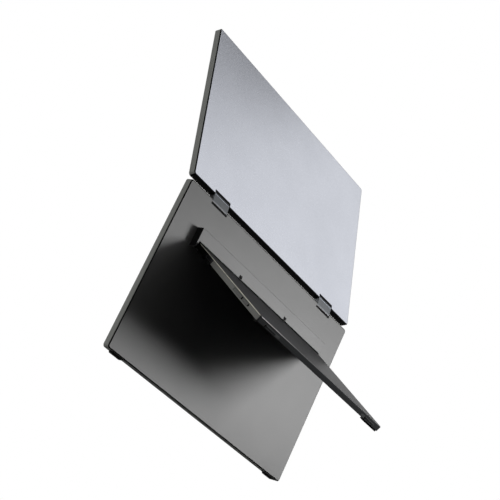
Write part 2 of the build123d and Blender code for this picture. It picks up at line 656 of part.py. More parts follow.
def make_stand_shell():
    """Stand's outer tray: full-width knuckle, bevelled rim, posts, keyways and ports."""
    slot_width = ARM_THICKNESS + 2 * ARM_SLOT_GAP
    with BuildPart() as shell:
        with BuildSketch(section(STAND)):
            Circle(KNUCKLE_RADIUS)
            with Locations((STAND_DEPTH / 2, KNUCKLE_RADIUS - STAND_THICKNESS / 2)):
                Rectangle(STAND_DEPTH, STAND_THICKNESS)
        extrude(amount=STAND_HALF_WIDTH, both=True)
        uprights = shell.edges().filter_by(Axis(STAND.origin, STAND.z_dir))
        fillet(uprights.sort_by(Axis(STAND.origin, STAND.y_dir))[-2:], STAND_CORNER_RADIUS)
        rim = outer_face(shell, STAND).edges().sort_by(Axis(STAND.origin, STAND.y_dir))
        chamfer(rim[1:], STAND_EDGE_BEVEL)
        with BuildSketch(STAND.offset(STAND_INNER_LEVEL)):
            stand_outline(STAND_COVER_INSET, STAND_COVER_START)
        extrude(amount=STAND_COVER_SHEET, mode=Mode.SUBTRACT)
        with BuildSketch(STAND.offset(STAND_SHEET_LEVEL)):
            cavity_end = STAND_DEPTH - STAND_WALL
            with Locations((0, (CAVITY_START + cavity_end) / 2)):
                Rectangle(2 * (STAND_HALF_WIDTH - STAND_WALL), cavity_end - CAVITY_START)
        extrude(amount=STAND_INNER_LEVEL - STAND_SHEET_LEVEL, mode=Mode.SUBTRACT)
        for spots, level in ((COVER_POST_SPOTS, STAND_COVER_LEVEL), (BOARD_POST_SPOTS, MAIN_BOARD_TOP)):
            with BuildSketch(STAND.offset(STAND_SHEET_LEVEL)):
                with Locations(*spots):
                    Rectangle(POST_WIDTH, POST_WIDTH)
            extrude(amount=level - STAND_SHEET_LEVEL)
        with BuildSketch(STAND):
            with Locations(*[(side * ARM_X, 0) for side in SIDES]):
                Rectangle(slot_width, 2 * (ARM_EYE_RADIUS + KNUCKLE_GAP))
            with Locations(*[(side * ARM_X, -ARM_EYE_RADIUS) for side in SIDES]):
                Rectangle(slot_width, KNUCKLE_RADIUS)
        extrude(amount=2 * KNUCKLE_RADIUS, both=True, mode=Mode.SUBTRACT)
        with BuildSketch(section(STAND)):
            Circle(STAND_SHAFT_RADIUS)
        extrude(amount=STAND_HALF_WIDTH, both=True, mode=Mode.SUBTRACT)
        with BuildSketch(section(STAND, STAND_HALF_WIDTH)):
            key_outline(POWER_KEY_START, POWER_KEY_LENGTH, 0)
            key_outline(ROCKER_START, ROCKER_LENGTH, 0)
            socket_outline(HDMI_SPOTS, HDMI_BODY, SOCKET_GAP)
        extrude(amount=-STAND_WALL, mode=Mode.SUBTRACT)
        with BuildSketch(section(STAND, -STAND_HALF_WIDTH)):
            socket_outline(USB_SPOTS, USB_SHELL, SOCKET_GAP)
        extrude(amount=STAND_WALL, mode=Mode.SUBTRACT)
        with BuildSketch(free_edge()):
            speaker_slots()
        extrude(amount=-STAND_WALL, mode=Mode.SUBTRACT)
    save(shell, "stand_shell")


def make_stand_cover():
    """Inner sheet of the stand, with pads that carry the boards."""
    with BuildPart() as cover:
        with BuildSketch(STAND.offset(STAND_INNER_LEVEL)):
            stand_outline(STAND_COVER_INSET + FACE_GAP, STAND_COVER_START + FACE_GAP)
        extrude(amount=STAND_COVER_SHEET)
        with BuildSketch(STAND.offset(STAND_COVER_LEVEL)):
            with Locations(*BOARD_PAD_SPOTS):
                Rectangle(PAD_SIZE, PAD_SIZE)
        extrude(amount=BOARD_STANDOFF)
    save(cover, "stand_cover")


def make_stand_shaft():
    """Steel shaft through the knuckle, its ends turning in the block's ears."""
    with BuildPart() as shaft:
        with BuildSketch(section(STAND)):
            Circle(STAND_SHAFT_RADIUS)
        extrude(amount=EAR_INNER + STAND_SHAFT_GRIP, both=True)
    save(shaft, "stand_shaft")


def make_stand_feet():
    """Rubber feet on the stand's inner face; the pair at its free edge meets the desk."""
    inner = STAND_HALF_WIDTH - STAND_FOOT_SIDE_GAP - STAND_FOOT_LENGTH / 2
    outer = STAND_HALF_WIDTH - HINGE_FOOT_SIDE_GAP - HINGE_FOOT_WIDTH / 2
    edge_y = STAND_DEPTH - STAND_FOOT_EDGE_GAP - STAND_FOOT_WIDTH / 2
    with BuildPart() as feet:
        with BuildSketch(STAND.offset(STAND_INNER_LEVEL)):
            with Locations(*[(side * inner, edge_y) for side in SIDES]):
                Rectangle(STAND_FOOT_LENGTH, STAND_FOOT_WIDTH)
            for start, length in HINGE_FEET:
                with Locations(*[(side * outer, start + length / 2) for side in SIDES]):
                    Rectangle(HINGE_FOOT_WIDTH, length)
        extrude(amount=-STAND_FOOT_HEIGHT)
        split(bisect_by=Plane.XY, keep=Keep.TOP)
    save(feet, "stand_feet")


def make_main_board():
    """Main board of the stand, cut out around the sockets that sit in its thickness."""
    with BuildPart() as board:
        with BuildSketch(STAND.offset(MAIN_BOARD_LEVEL)):
            with Locations((0, MAIN_BOARD_MIDDLE)):
                Rectangle(2 * MAIN_BOARD_EDGE, MAIN_BOARD_LENGTH)
            with Locations((MAIN_BOARD_EDGE, HDMI_SPOTS[0])):
                Rectangle(2 * HDMI_DEPTH, HDMI_BODY[0] + 2 * SOCKET_GAP, mode=Mode.SUBTRACT)
            with Locations(*[(-MAIN_BOARD_EDGE, y) for y in USB_SPOTS]):
                Rectangle(2 * USB_DEPTH, USB_SHELL[0] + 2 * SOCKET_GAP, mode=Mode.SUBTRACT)
        extrude(amount=BOARD_THICKNESS)
    save(board, "main_board")


def make_board_chips():
    """Rows of power and interface chips on the main board."""
    with BuildPart() as chips:
        with BuildSketch(STAND.offset(MAIN_BOARD_TOP)):
            for x in CHIP_COLUMNS:
                with Locations((x, MAIN_BOARD_MIDDLE), (-x, MAIN_BOARD_MIDDLE)):
                    with GridLocations(CHIP_SPACING, CHIP_SPACING, 1, CHIP_ROWS):
                        Rectangle(CHIP_SIZE[0], CHIP_SIZE[1])
        extrude(amount=CHIP_SIZE[2])
    save(chips, "board_chips")


def make_block_on_board(level, size, name):
    """A flat piece over the middle of the main board: the video chip or its heat spreader."""
    with BuildPart() as block:
        with BuildSketch(STAND.offset(level)):
            with Locations((0, MAIN_BOARD_MIDDLE)):
                Rectangle(size[0], size[1])
        extrude(amount=size[2])
    save(block, name)


def make_key_board():
    """Narrow board behind the keys, which carries their switches."""
    with BuildPart() as board:
        with BuildSketch(STAND.offset(MAIN_BOARD_LEVEL)):
            with Locations((KEY_BOARD_X, (KEY_BOARD_START + KEY_BOARD_END) / 2)):
                Rectangle(KEY_BOARD_WIDTH, KEY_BOARD_END - KEY_BOARD_START)
        extrude(amount=BOARD_THICKNESS)
    save(board, "key_board")


def make_key_switches():
    """Side-push switches behind the middle of the power key and the rocker's two ends."""
    spots = (
        POWER_KEY_START + POWER_KEY_LENGTH / 2,
        ROCKER_START + SWITCH_END_GAP,
        ROCKER_START + ROCKER_LENGTH - SWITCH_END_GAP,
    )
    with BuildPart() as switches:
        with BuildSketch(STAND.offset(MAIN_BOARD_TOP)):
            with Locations(*[(KEY_BACK - SWITCH_GAP - SWITCH_SIZE[0] / 2, y) for y in spots]):
                Rectangle(SWITCH_SIZE[0], SWITCH_SIZE[1])
        extrude(amount=SWITCH_SIZE[2])
    save(switches, "key_switches")


def make_key(start, length, name):
    """A key cap through the side wall, with a flange that keeps it in."""
    with BuildPart() as key:
        with BuildSketch(section(STAND, KEY_FLANGE_FACE)):
            key_outline(start, length, -KEY_GAP)
        extrude(amount=STAND_HALF_WIDTH + KEY_PROUD - KEY_FLANGE_FACE)
        top = key.faces().sort_by(Axis(STAND.origin, STAND.x_dir))[-1]
        chamfer(top.edges(), KEY_BEVEL)
        with BuildSketch(section(STAND, KEY_FLANGE_FACE)):
            with Locations((start + length / 2, KEY_LEVEL)):
                Rectangle(length + 2 * KEY_FLANGE, KEY_HEIGHT + 2 * KEY_FLANGE)
        extrude(amount=-KEY_FLANGE_THICKNESS)
    save(key, name)


def make_mini_hdmi_socket():
    """Mini-HDMI socket in its moulded body, behind the window in the side wall."""
    face = STAND_HALF_WIDTH - SOCKET_RECESS
    with BuildPart() as socket:
        with BuildSketch(section(STAND, face)):
            socket_outline(HDMI_SPOTS, HDMI_BODY, 0)
        extrude(amount=-HDMI_DEPTH)
        with BuildSketch(section(STAND, face)):
            socket_outline(HDMI_SPOTS, HDMI_MOUTH, 0)
        extrude(amount=-SOCKET_MOUTH, mode=Mode.SUBTRACT)
        with BuildSketch(section(STAND, face - SOCKET_MOUTH)):
            with Locations((HDMI_SPOTS[0], SOCKET_LEVEL)):
                Rectangle(HDMI_MOUTH[0] - HDMI_MOUTH[1], SOCKET_TONGUE_THICKNESS)
        extrude(amount=SOCKET_TONGUE)
    save(socket, "mini_hdmi_socket")


def make_usb_c_sockets():
    """Two USB-C sockets in the other side wall: drawn shells with their tongues."""
    face = SOCKET_RECESS - STAND_HALF_WIDTH
    with BuildPart() as sockets:
        with BuildSketch(section(STAND, face)):
            socket_outline(USB_SPOTS, USB_SHELL, 0)
        extrude(amount=USB_DEPTH)
        with BuildSketch(section(STAND, face)):
            socket_outline(USB_SPOTS, USB_SHELL, -SOCKET_WALL)
        extrude(amount=SOCKET_MOUTH, mode=Mode.SUBTRACT)
        with BuildSketch(section(STAND, face + SOCKET_MOUTH)):
            with Locations(*[(spot, SOCKET_LEVEL) for spot in USB_SPOTS]):
                Rectangle(USB_SHELL[0] - USB_SHELL[1], SOCKET_TONGUE_THICKNESS)
        extrude(amount=-SOCKET_TONGUE)
    save(sockets, "usb_c_sockets")


def make_speaker(side, name):
    """Slim speaker box on the inner sheet, behind its slot in the free edge."""
    y = STAND_DEPTH - STAND_WALL - SPEAKER_WALL_GAP - SPEAKER_SIZE[1] / 2
    with BuildPart() as speaker:
        with BuildSketch(STAND.offset(STAND_COVER_LEVEL)):
            with Locations((side * SPEAKER_X, y)):
                Rectangle(SPEAKER_SIZE[0], SPEAKER_SIZE[1])
        extrude(amount=SPEAKER_SIZE[2])
    save(speaker, name)


def make_speaker_grilles():
    """Cloth-faced strips set back in the sound slots."""
    with BuildPart() as grilles:
        with BuildSketch(free_edge(GRILLE_RECESS)):
            speaker_slots()
        extrude(amount=-GRILLE_THICKNESS)
    save(grilles, "speaker_grilles")


os.makedirs("parts", exist_ok=True)
make_panel(LOWER_PANEL, "lower", -1)
make_panel(UPPER_PANEL, "upper", 1)
make_closing_bumpers()
for side, word in ((1, "left"), (-1, "right")):
    make_link(side, f"hinge_link_{word}")
    make_torque_sleeve(side, f"torque_sleeve_{word}")
make_link_caps()
make_panel_feet()
make_stand_block()
make_stand_arms()
make_stand_shell()
make_stand_cover()
make_stand_shaft()
make_stand_feet()
make_main_board()
make_board_chips()
make_block_on_board(MAIN_BOARD_TOP, SCALER_SIZE, "video_chip")
make_block_on_board(MAIN_BOARD_TOP + SCALER_SIZE[2], SPREADER_SIZE, "heat_spreader")
make_key_board()
make_key_switches()
make_key(POWER_KEY_START, POWER_KEY_LENGTH, "power_key")
make_key(ROCKER_START, ROCKER_LENGTH, "menu_rocker")
make_mini_hdmi_socket()
make_usb_c_sockets()
make_speaker(-1, "speaker_left")
make_speaker(1, "speaker_right")
make_speaker_grilles()
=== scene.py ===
"""Looks of a foldable portable monitor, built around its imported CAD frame.

Metres and +Z up, as in the frame. The sizes of the pieces made here are millimetres, measured in
the leaning plane of the part that carries them.
"""

import logging
from dataclasses import dataclass, fields
from enum import Enum
from math import cos, radians, sin
from typing import Any

import bmesh
import bpy
from mathutils import Euler, Matrix, Vector


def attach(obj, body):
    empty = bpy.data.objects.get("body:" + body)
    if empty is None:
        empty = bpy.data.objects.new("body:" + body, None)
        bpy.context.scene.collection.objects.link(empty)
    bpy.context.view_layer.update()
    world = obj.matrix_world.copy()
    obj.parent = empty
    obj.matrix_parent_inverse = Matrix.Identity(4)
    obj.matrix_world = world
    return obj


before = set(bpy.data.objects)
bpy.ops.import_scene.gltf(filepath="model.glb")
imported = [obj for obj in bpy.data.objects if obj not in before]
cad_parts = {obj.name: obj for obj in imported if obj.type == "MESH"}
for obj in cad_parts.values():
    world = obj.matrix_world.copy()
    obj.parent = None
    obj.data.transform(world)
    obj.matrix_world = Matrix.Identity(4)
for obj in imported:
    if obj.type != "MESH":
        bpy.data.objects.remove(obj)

log = logging.getLogger("portable_monitor")

Object = bpy.types.Object
Tree = bpy.types.NodeTree
Socket = bpy.types.NodeSocket
Inputs = dict[str | int, Any]
Point = tuple[float, float]
Triple = tuple[float, float, float]
Material = bpy.types.Material

MM = 0.001
SIDES = (-1, 1)
WHITE = "ffffff"

# The colour sockets of a Mix node, which go by number because their names repeat
FIRST_COLOUR = 6
SECOND_COLOUR = 7
MIXED_COLOUR = 2

# Where most of a noise value lies, and the scale that draws its spots out into lines along x
NOISE_RANGE = (0.25, 0.75)
LINED = (0.04, 1.0, 1.0)

SCREW_HEAD_SIDES = 32

# Directions in a leaning plane
RIGHT = (1, 0, 0)
LEFT = (-1, 0, 0)
ALONG = (0, 1, 0)
BACK = (0, -1, 0)
OUT = (0, 0, 1)
IN = (0, 0, -1)


class Body(Enum):
    """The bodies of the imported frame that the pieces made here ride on."""

    LOWER = "lower"
    UPPER = "upper"
    LINKS = "hinge_links"
    STAND = "stand"


def srgb(code: str) -> tuple[float, float, float, float]:
    """Turn an sRGB hex colour into linear RGBA, by the standard's own curve.

    Args:
        code: Six hex digits, such as "8a8d93".

    Returns:
        Linear red, green, blue and an alpha of one.
    """
    parts = [int(code[i : i + 2], 16) / 255 for i in (0, 2, 4)]
    linear = [p / 12.92 if p <= 0.04045 else ((p + 0.055) / 1.055) ** 2.4 for p in parts]
    return (linear[0], linear[1], linear[2], 1.0)


def add_node(
    tree: Tree, kind: str, inputs: Inputs | None = None, **settings: Any
) -> bpy.types.Node:
    """Add a node with its settings, input values and links.

    Args:
        tree: The node tree that gets the node.
        kind: Blender's name for the node's type.
        inputs: Values or output sockets by the input's name or index.
        settings: The node's own properties.

    Returns:
        The new node.
    """
    node = tree.nodes.new(kind)
    for name, value in settings.items():
        setattr(node, name, value)
    for key, value in (inputs or {}).items():
        if isinstance(value, Socket):
            tree.links.new(value, node.inputs[key])
        else:
            node.inputs[key].default_value = value
    return node


def new_material(name: str) -> tuple[Material, Tree]:
    """Make a material with an empty node tree.

    Args:
        name: The finish's name.

    Returns:
        The material and its node tree.
    """
    material = bpy.data.materials.new(name)
    material.use_nodes = True
    material.node_tree.nodes.clear()
    return material, material.node_tree


def uneven(tree: Tree, noise: Socket, middle: float, by: float) -> Socket:
    """Let a value vary with noise.

    Args:
        tree: The material's node tree.
        noise: The noise, which mostly lies in its usual range.
        middle: The value in the middle of that range.
        by: How far the value moves from there to the range's ends.

    Returns:
        The varied value's socket.
    """
    low, high = NOISE_RANGE
    spread = {"Value": noise, "From Min": low, "From Max": high}
    spread |= {"To Min": middle - by, "To Max": middle + by}
    return add_node(tree, "ShaderNodeMapRange", spread).outputs["Result"]


def any_of(tree: Tree, *flags: Socket) -> Socket:
    """Join flags into one that is set where any of them is.

    Args:
        tree: The node tree.
        flags: The flags' sockets.

    Returns:
        The joined flag's socket.
    """
    joined = flags[0]
    for flag in flags[1:]:
        pair = {0: joined, 1: flag}
        joined = add_node(tree, "ShaderNodeMath", pair, operation="MAXIMUM").outputs[0]
    return joined


@dataclass(frozen=True)
class LeaningPlane:
    """A plane at the back of a leaning part: y runs along it, z out of it, in millimetres."""

    origin: Triple
    angle: float
    x_way: int

    def matrix(self) -> Matrix:
        """Work out where the plane lies.

        Returns:
            The matrix from the plane's millimetres to the frame's metres.
        """
        turn = radians(self.angle)
        z = Vector((0.0, sin(turn), -cos(turn)))
        x = Vector((self.x_way, 0.0, 0.0))
        y = z.cross(x)
        rotation = Matrix((x, y, z)).transposed().to_4x4()
        return Matrix.Translation(Vector(self.origin) * MM) @ rotation @ Matrix.Scale(MM, 4)

    def wall(self, origin: Triple, along: Triple, out: Triple) -> Matrix:
        """Work out where a wall that stands in this plane lies.

        Args:
            origin: A point of the wall, in the plane's millimetres.
            along: The direction of its outlines' first axis, in the plane.
            out: The direction that it faces and is raised in, in the plane.

        Returns:
            The matrix from the wall's millimetres to the frame's metres.
        """
        first = Vector(along).normalized()
        third = Vector(out).normalized()
        second = Vector(OUT)
        second = (second - second.dot(third) * third).normalized()
        turned = Matrix((first, second, third)).transposed().to_4x4()
        return self.matrix() @ Matrix.Translation(Vector(origin)) @ turned


# Their origins in millimetres, and their angles from the desk in degrees
LOWER_LEAN = 60.299
LOWER = LeaningPlane((0.0, -78.644, 0.643), LOWER_LEAN, -1)
LINK = LeaningPlane((0.0, 23.229, 187.519), LOWER_LEAN + 10.0, -1)
UPPER = LeaningPlane((0.0, 30.005, 193.627), LOWER_LEAN + 20.0, -1)
STAND = LeaningPlane((0.0, 3.44, 133.645), LOWER_LEAN + 60.6, 1)


@dataclass(frozen=True)
class Zone:
    """A part of a painted surface with a tone of its own: all that lies beyond every limit.

    A limit is a direction in a leaning plane and the level, in its millimetres, where it starts.
    """

    plane: LeaningPlane
    limits: tuple[tuple[Triple, float], ...]
    colour: str
    softness: float = 0.1

    def over(self, tree: Tree, colour: Socket) -> Socket:
        """Lay the zone's tone over a colour.

        Args:
            tree: The material's node tree.
            colour: The colour socket outside the zone.

        Returns:
            The colour socket with the zone in it.
        """
        place = add_node(tree, "ShaderNodeTexCoord").outputs["Object"]
        matrix = self.plane.matrix()
        half = self.softness / 2 * MM
        inside = 1.0
        for way, level in self.limits:
            out = (matrix.to_3x3() @ Vector(way)).normalized()
            start = out.dot(matrix @ (Vector(way) * level))
            pair = {0: place, 1: tuple(out)}
            reach = add_node(tree, "ShaderNodeVectorMath", pair, operation="DOT_PRODUCT")
            step = {"Value": reach.outputs["Value"]}
            step |= {"From Min": start - half, "From Max": start + half}
            beyond = add_node(tree, "ShaderNodeMapRange", step).outputs["Result"]
            pair = {0: inside, 1: beyond}
            inside = add_node(tree, "ShaderNodeMath", pair, operation="MULTIPLY").outputs[0]
        tones = {"Factor": inside, FIRST_COLOUR: colour, SECOND_COLOUR: srgb(self.colour)}
        return add_node(tree, "ShaderNodeMix", tones, data_type="RGBA").outputs[MIXED_COLOUR]


@dataclass(frozen=True)
class Finish:
    """A finish that is made on its first use and then shared by every part that has it.

    A pattern in relief makes its sheen uneven. Its tint follows a broader one where that has a
    size, and so does its sheen where it is worn.
    """

    name: str
    dark: str
    light: str = ""
    roughness: float = 0.5
    metallic: float = 0.0
    specular: float = 0.5
    # Blender's own value, which metals keep
    ior: float = 1.5
    unevenness: float = 0.0
    relief_mm: float = 1.0
    relief_detail: float = 2.0
    relief_depth_mm: float = 0.01
    relief_strength: float = 0.5
    tint_mm: float = 0.0
    tint_detail: float = 2.0
    worn: bool = False
    lined: bool = False
    zones: tuple[Zone, ...] = ()

    def pattern(self, tree: Tree, size_mm: float, detail: float) -> Socket:
        """Add noise on Object coordinates whose spots have a real size.

        Args:
            tree: The material's node tree.
            size_mm: A spot's size in millimetres.
            detail: How many finer octaves the noise has.

        Returns:
            The noise's value socket.
        """
        place = add_node(tree, "ShaderNodeTexCoord").outputs["Object"]
        if self.lined:
            drawn_out = {"Vector": place, "Scale": LINED}
            place = add_node(tree, "ShaderNodeMapping", drawn_out).outputs[0]
        noise = {"Vector": place, "Scale": 1 / (size_mm * MM), "Detail": detail}
        return add_node(tree, "ShaderNodeTexNoise", noise).outputs["Fac"]

    def shared(self) -> Material:
        """Fetch the finish, or make it where it isn't there yet.

        Returns:
            The finish's material, which ends in one Principled shader.
        """
        material = bpy.data.materials.get(self.name)
        if material is not None:
            return material
        material, tree = new_material(self.name)
        relief = self.pattern(tree, self.relief_mm, self.relief_detail)
        tint = self.pattern(tree, self.tint_mm, self.tint_detail) if self.tint_mm else relief
        colour = srgb(self.dark)
        if self.light:
            mix = {"Factor": uneven(tree, tint, 0.5, 0.5)}
            mix |= {FIRST_COLOUR: colour, SECOND_COLOUR: srgb(self.light)}
            mix = add_node(tree, "ShaderNodeMix", mix, data_type="RGBA")
            colour = mix.outputs[MIXED_COLOUR]
        for zone in self.zones:
            colour = zone.over(tree, colour)
        sheen = self.roughness
        if self.unevenness:
            sheen = uneven(tree, tint if self.worn else relief, sheen, self.unevenness)
        depth = self.relief_depth_mm * MM
        bump = {"Height": relief, "Distance": depth, "Strength": self.relief_strength}
        surface = {
            "Base Color": colour,
            "Metallic": self.metallic,
            "Roughness": sheen,
            "IOR": self.ior,
            "Specular IOR Level": self.specular,
            "Normal": add_node(tree, "ShaderNodeBump", bump).outputs["Normal"],
        }
        shader = add_node(tree, "ShaderNodeBsdfPrincipled", surface)
        add_node(tree, "ShaderNodeOutputMaterial", {"Surface": shader.outputs["BSDF"]})
        return material


@dataclass(frozen=True)
class AnodisedAluminium(Finish):
    """Sheet aluminium, bead-blasted and anodised: an even satin sheen with a very fine grain."""

    unevenness: float = 0.03
    # The blast's pits are 0.1 mm; they are drawn at about one pixel so that they show at all
    relief_mm: float = 0.9
    relief_detail: float = 1.0
    tint_mm: float = 60.0


@dataclass(frozen=True)
class CastMetal(Finish):
    """Die-cast alloy, blasted and painted: duller than the sheets, with a slightly coarser skin."""

    unevenness: float = 0.05
    # The skin's pits are 0.2 mm; they too are drawn at about one pixel
    relief_mm: float = 1.4
    relief_detail: float = 1.0
    relief_depth_mm: float = 0.02
    tint_mm: float = 35.0


@dataclass(frozen=True)
class DrawnMetal(Finish):
    """Turned, rolled or plated bare metal: brighter, with fine lines in the working direction."""

    metallic: float = 1.0
    # The lines of turning and rolling are 0.05 mm; they are drawn at five times their width
    relief_mm: float = 0.25
    relief_depth_mm: float = 0.006
    relief_strength: float = 0.4
    lined: bool = True


@dataclass(frozen=True)
class MouldedPlastic(Finish):
    """Injection-moulded plastic with a spark-eroded texture: matt, with soft small highlights."""

    ior: float = 1.53
    unevenness: float = 0.06
    relief_mm: float = 0.5
    relief_depth_mm: float = 0.02
    relief_strength: float = 0.6


@dataclass(frozen=True)
class MattRubber(Finish):
    """Moulded silicone rubber: nearly black, dull, with dust-pale wear where it is rubbed."""

    roughness: float = 0.8
    ior: float = 1.41
    unevenness: float = 0.08
    relief_mm: float = 0.4
    relief_depth_mm: float = 0.03
    relief_strength: float = 0.6
    tint_mm: float = 3.0
    tint_detail: float = 4.0
    worn: bool = True


@dataclass(frozen=True)
class AntiGlareGlass(Finish):
    """Etched display surface, switched off: near black, with a broad soft sheen."""

    roughness: float = 0.34
    unevenness: float = 0.04
    # The etched pits are 0.02 mm; they are drawn much coarser so that the sheen isn't even
    relief_mm: float = 0.6
    relief_detail: float = 3.0
    relief_depth_mm: float = 0.004


@dataclass(frozen=True)
class CircuitBoard(Finish):
    """Solder-masked laminate: dark green, with the paler copper pours showing through."""

    roughness: float = 0.38
    relief_mm: float = 3.0
    relief_depth_mm: float = 0.03

    def pattern(self, tree: Tree, size_mm: float, detail: float) -> Socket:
        """Add square cells of a size, as pours and tracks have them.

        Args:
            tree: The material's node tree.
            size_mm: A cell's size in millimetres.
            detail: Left out, because all cells have one size.

        Returns:
            The cells' value socket.
        """
        place = add_node(tree, "ShaderNodeTexCoord").outputs["Object"]
        cells = {"Vector": place, "Scale": 1 / (size_mm * MM)}
        cells = add_node(tree, "ShaderNodeTexVoronoi", cells, distance="CHEBYCHEV")
        return cells.outputs["Distance"]


# Clear anodised: pale blue-grey, and a soft mirror of the room
SILVER_ALUMINIUM = AnodisedAluminium("anodised_aluminium_silver", "c7cad3", "cdd0d9", 0.253, 0.95)

# Dyed grey: it shows its own tone, under a broad sheen from the lamp that it faces
GREY_ALUMINIUM = AnodisedAluminium("anodised_aluminium_grey", "535353", "585858", 0.468, 0.21, 0.3)

# Dyed and sealed matt: hardly any sheen, darkest outside and paler on the side walls. The black on
# one side wall beside the knuckle is painted shade, where the lower panel shades that wall
STAND_ALUMINIUM_AND_SHADE = AnodisedAluminium(
    "anodised_aluminium_stand",
    "5b5c5e",
    "606163",
    roughness=0.35,
    metallic=0.0,
    specular=0.012,
    zones=(
        Zone(STAND, ((OUT, 4.1),), "232324"),
        Zone(STAND, ((ALONG, 153.4),), "404142"),
        Zone(STAND, ((RIGHT, 134.0), (BACK, -153.2)), "686865"),
        Zone(STAND, ((LEFT, 134.0), (BACK, -153.2)), "686865"),
        # Painted shade: black on one side wall near the knuckle, for the lower panel's shadow on it
        Zone(STAND, ((RIGHT, 131.0), (BACK, -41.6)), "0c0c0c"),
    ),
)

# Matt paint on cast magnesium: even warm grey walls and black around the cover. The black along
# the hinge edges is painted shade of the gap between the panels, and the lower one keeps a dark
# olive rim there
FRAME_PAINT = {
    "dark": "6b6c69",
    "light": "71726f",
    "roughness": 0.55,
    "metallic": 0.0,
    "specular": 0.02,
}
LOWER_PAINT_AND_SHADE = CastMetal(
    "painted_magnesium_lower_and_shade",
    **FRAME_PAINT,
    zones=(
        Zone(LOWER, ((OUT, -0.8),), "0d0d0d"),
        # Painted shade: the lower panel's hinge edge is black, for the shadow in the gap
        Zone(LOWER, ((ALONG, 213.8),), "040404"),
        Zone(LOWER, ((OUT, -1.0), (ALONG, 213.2)), "40403b"),
    ),
)
UPPER_PAINT_AND_SHADE = CastMetal(
    "painted_magnesium_upper_and_shade",
    **FRAME_PAINT,
    zones=(
        Zone(UPPER, ((OUT, -1.0),), "0d0d0d"),
        # Painted shade: the upper panel's hinge edge is black, for the shadow in the gap
        Zone(UPPER, ((BACK, -0.6),), "020202"),
    ),
)

# Painted and phosphated steel and zinc: a dull sheen on the links, nearly none on the arms
HINGE_CASTING = CastMetal("painted_cast_zinc", "44474b", "4d5054", 0.5, 0.3, relief_mm=0.8)
ARM_STEEL = CastMetal("phosphated_steel", "121213", "191a1b", 0.55, 0.1, 0.15, relief_mm=0.6)
SOUND_BEZEL = CastMetal("painted_sound_bezel", "515253", "58595a", 0.6, 0.0, 0.05)

# Pale lines that are painted highlights: the links' upper edges and the stand's sides look pale
# from every side, and the stand's free edge turns from grey to nearly white towards one end, as a
# painted glint
LINK_PAINTED_HIGHLIGHT = CastMetal("link_edge_painted_highlight", "b4bac6", "bec4d0", 0.5, 0.0, 0.1)
SIDE_PAINTED_HIGHLIGHT = CastMetal("side_edge_painted_highlight", "deddcd", "e4e3d4", 0.5, 0.0, 0.1)
FREE_EDGE_PAINTED_HIGHLIGHT = CastMetal(
    "free_edge_painted_highlight",
    "6b6c6d",
    "737475",
    roughness=0.5,
    metallic=0.0,
    specular=0.1,
    # Painted highlight: the free edge's line whitens towards +x, as a glint
    zones=(Zone(STAND, ((RIGHT, 95.0),), "f4f4f4", softness=80.0),),
)

# Bare and plated metals: bright and finely lined, the brighter the smoother they are
HINGE_STEEL = DrawnMetal("turned_steel", "8e8f92", "a8a9ac", 0.28, unevenness=0.07)
SPRING_STEEL = DrawnMetal("rolled_spring_steel", "77797d", "8b8d91", 0.34, unevenness=0.085)
SCREW_STEEL = DrawnMetal("blackened_steel_screws", "2c2d30", "3a3b3e", 0.36, unevenness=0.09)
SPREADER_METAL = DrawnMetal("rolled_copper_nickel", "a39f98", "b5b1aa", 0.3, unevenness=0.075)
SOCKET_METAL = DrawnMetal("nickel_plated_socket", "9b9b9c", "b1b1b2", 0.24, unevenness=0.06)
GRILLE_METAL = DrawnMetal("blackened_grille_mesh", "18191b", "232427", 0.5, unevenness=0.125)

# Moulded plastics: the shells and chips have a soft small highlight, and the sockets, keys, end
# caps and black elastomer are so matt that they show little but their tone, which is painted shade
# in places
BEZEL_PLASTIC = MouldedPlastic("bezel_polycarbonate", "131416", "1a1b1d", 0.46)
BACKLIGHT_PLASTIC = MouldedPlastic("backlight_polycarbonate", "d8d9d6", "e4e5e2", 0.5)
CHIP_PLASTIC = MouldedPlastic("epoxy_chip", "1b1c1e", "242528", 0.55)
SOCKET_PLASTIC = MouldedPlastic("socket_nylon", "0a0a0b", "101012", 0.6, specular=0.1)
KEY_PLASTIC = MouldedPlastic("key_abs", "5c5c59", "626260", 0.7, specular=0.05)
# Painted shade and black parts: black on the block's end caps as painted shade, and on the links'
# caps as their own colour
CAP_AND_SHADE_PLASTIC = MouldedPlastic("end_cap_and_shade_polycarbonate", "0a0a0b", "101011", 0.6, specular=0.1)
# Painted shade and black parts: the hinge notch strips, key rings, power key end marks and sound
# slot ticks are painted shade in gaps; the arm tips and sound meshes are black parts
BLACK_PART_AND_SHADE_PLASTIC = MouldedPlastic(
    "black_elastomer_and_painted_shade", "050505", "0a0a0a", 0.7, specular=0.05, relief_mm=0.8
)

# Silicone rubber: dull and greyish where it cushions, blacker where it stands on the desk
BLACK_RUBBER = MattRubber("silicone_rubber", "141415", "222223")
FOOT_RUBBER = MattRubber("silicone_rubber_feet", "080808", "0e0e0e", specular=0.05)

# The display's surface and the boards, which only show when the part is taken apart or opened
DISPLAY_GLASS = AntiGlareGlass("anti_glare_glass", "08090b")
CIRCUIT_BOARD = CircuitBoard("solder_masked_board", "123c2a", "1d5a3c")


def dress(finish: Finish, *nodes: str) -> None:
    """Give CAD nodes a finish.

    Args:
        finish: The finish.
        nodes: The nodes' names.
    """
    for name in nodes:
        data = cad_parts[name].data
        data.materials.clear()
        data.materials.append(finish.shared())
        log.info("%s dressed in %s", name, finish.name)


def settle(piece: Object, body: Body) -> None:
    """Hand a finished piece to the frame.

    Args:
        piece: The piece, its place in its mesh.
        body: The body that it rides on.
    """
    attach(piece, body.value)
    log.info("%s rides on %s with %d faces", piece.name, body.value, len(piece.data.polygons))


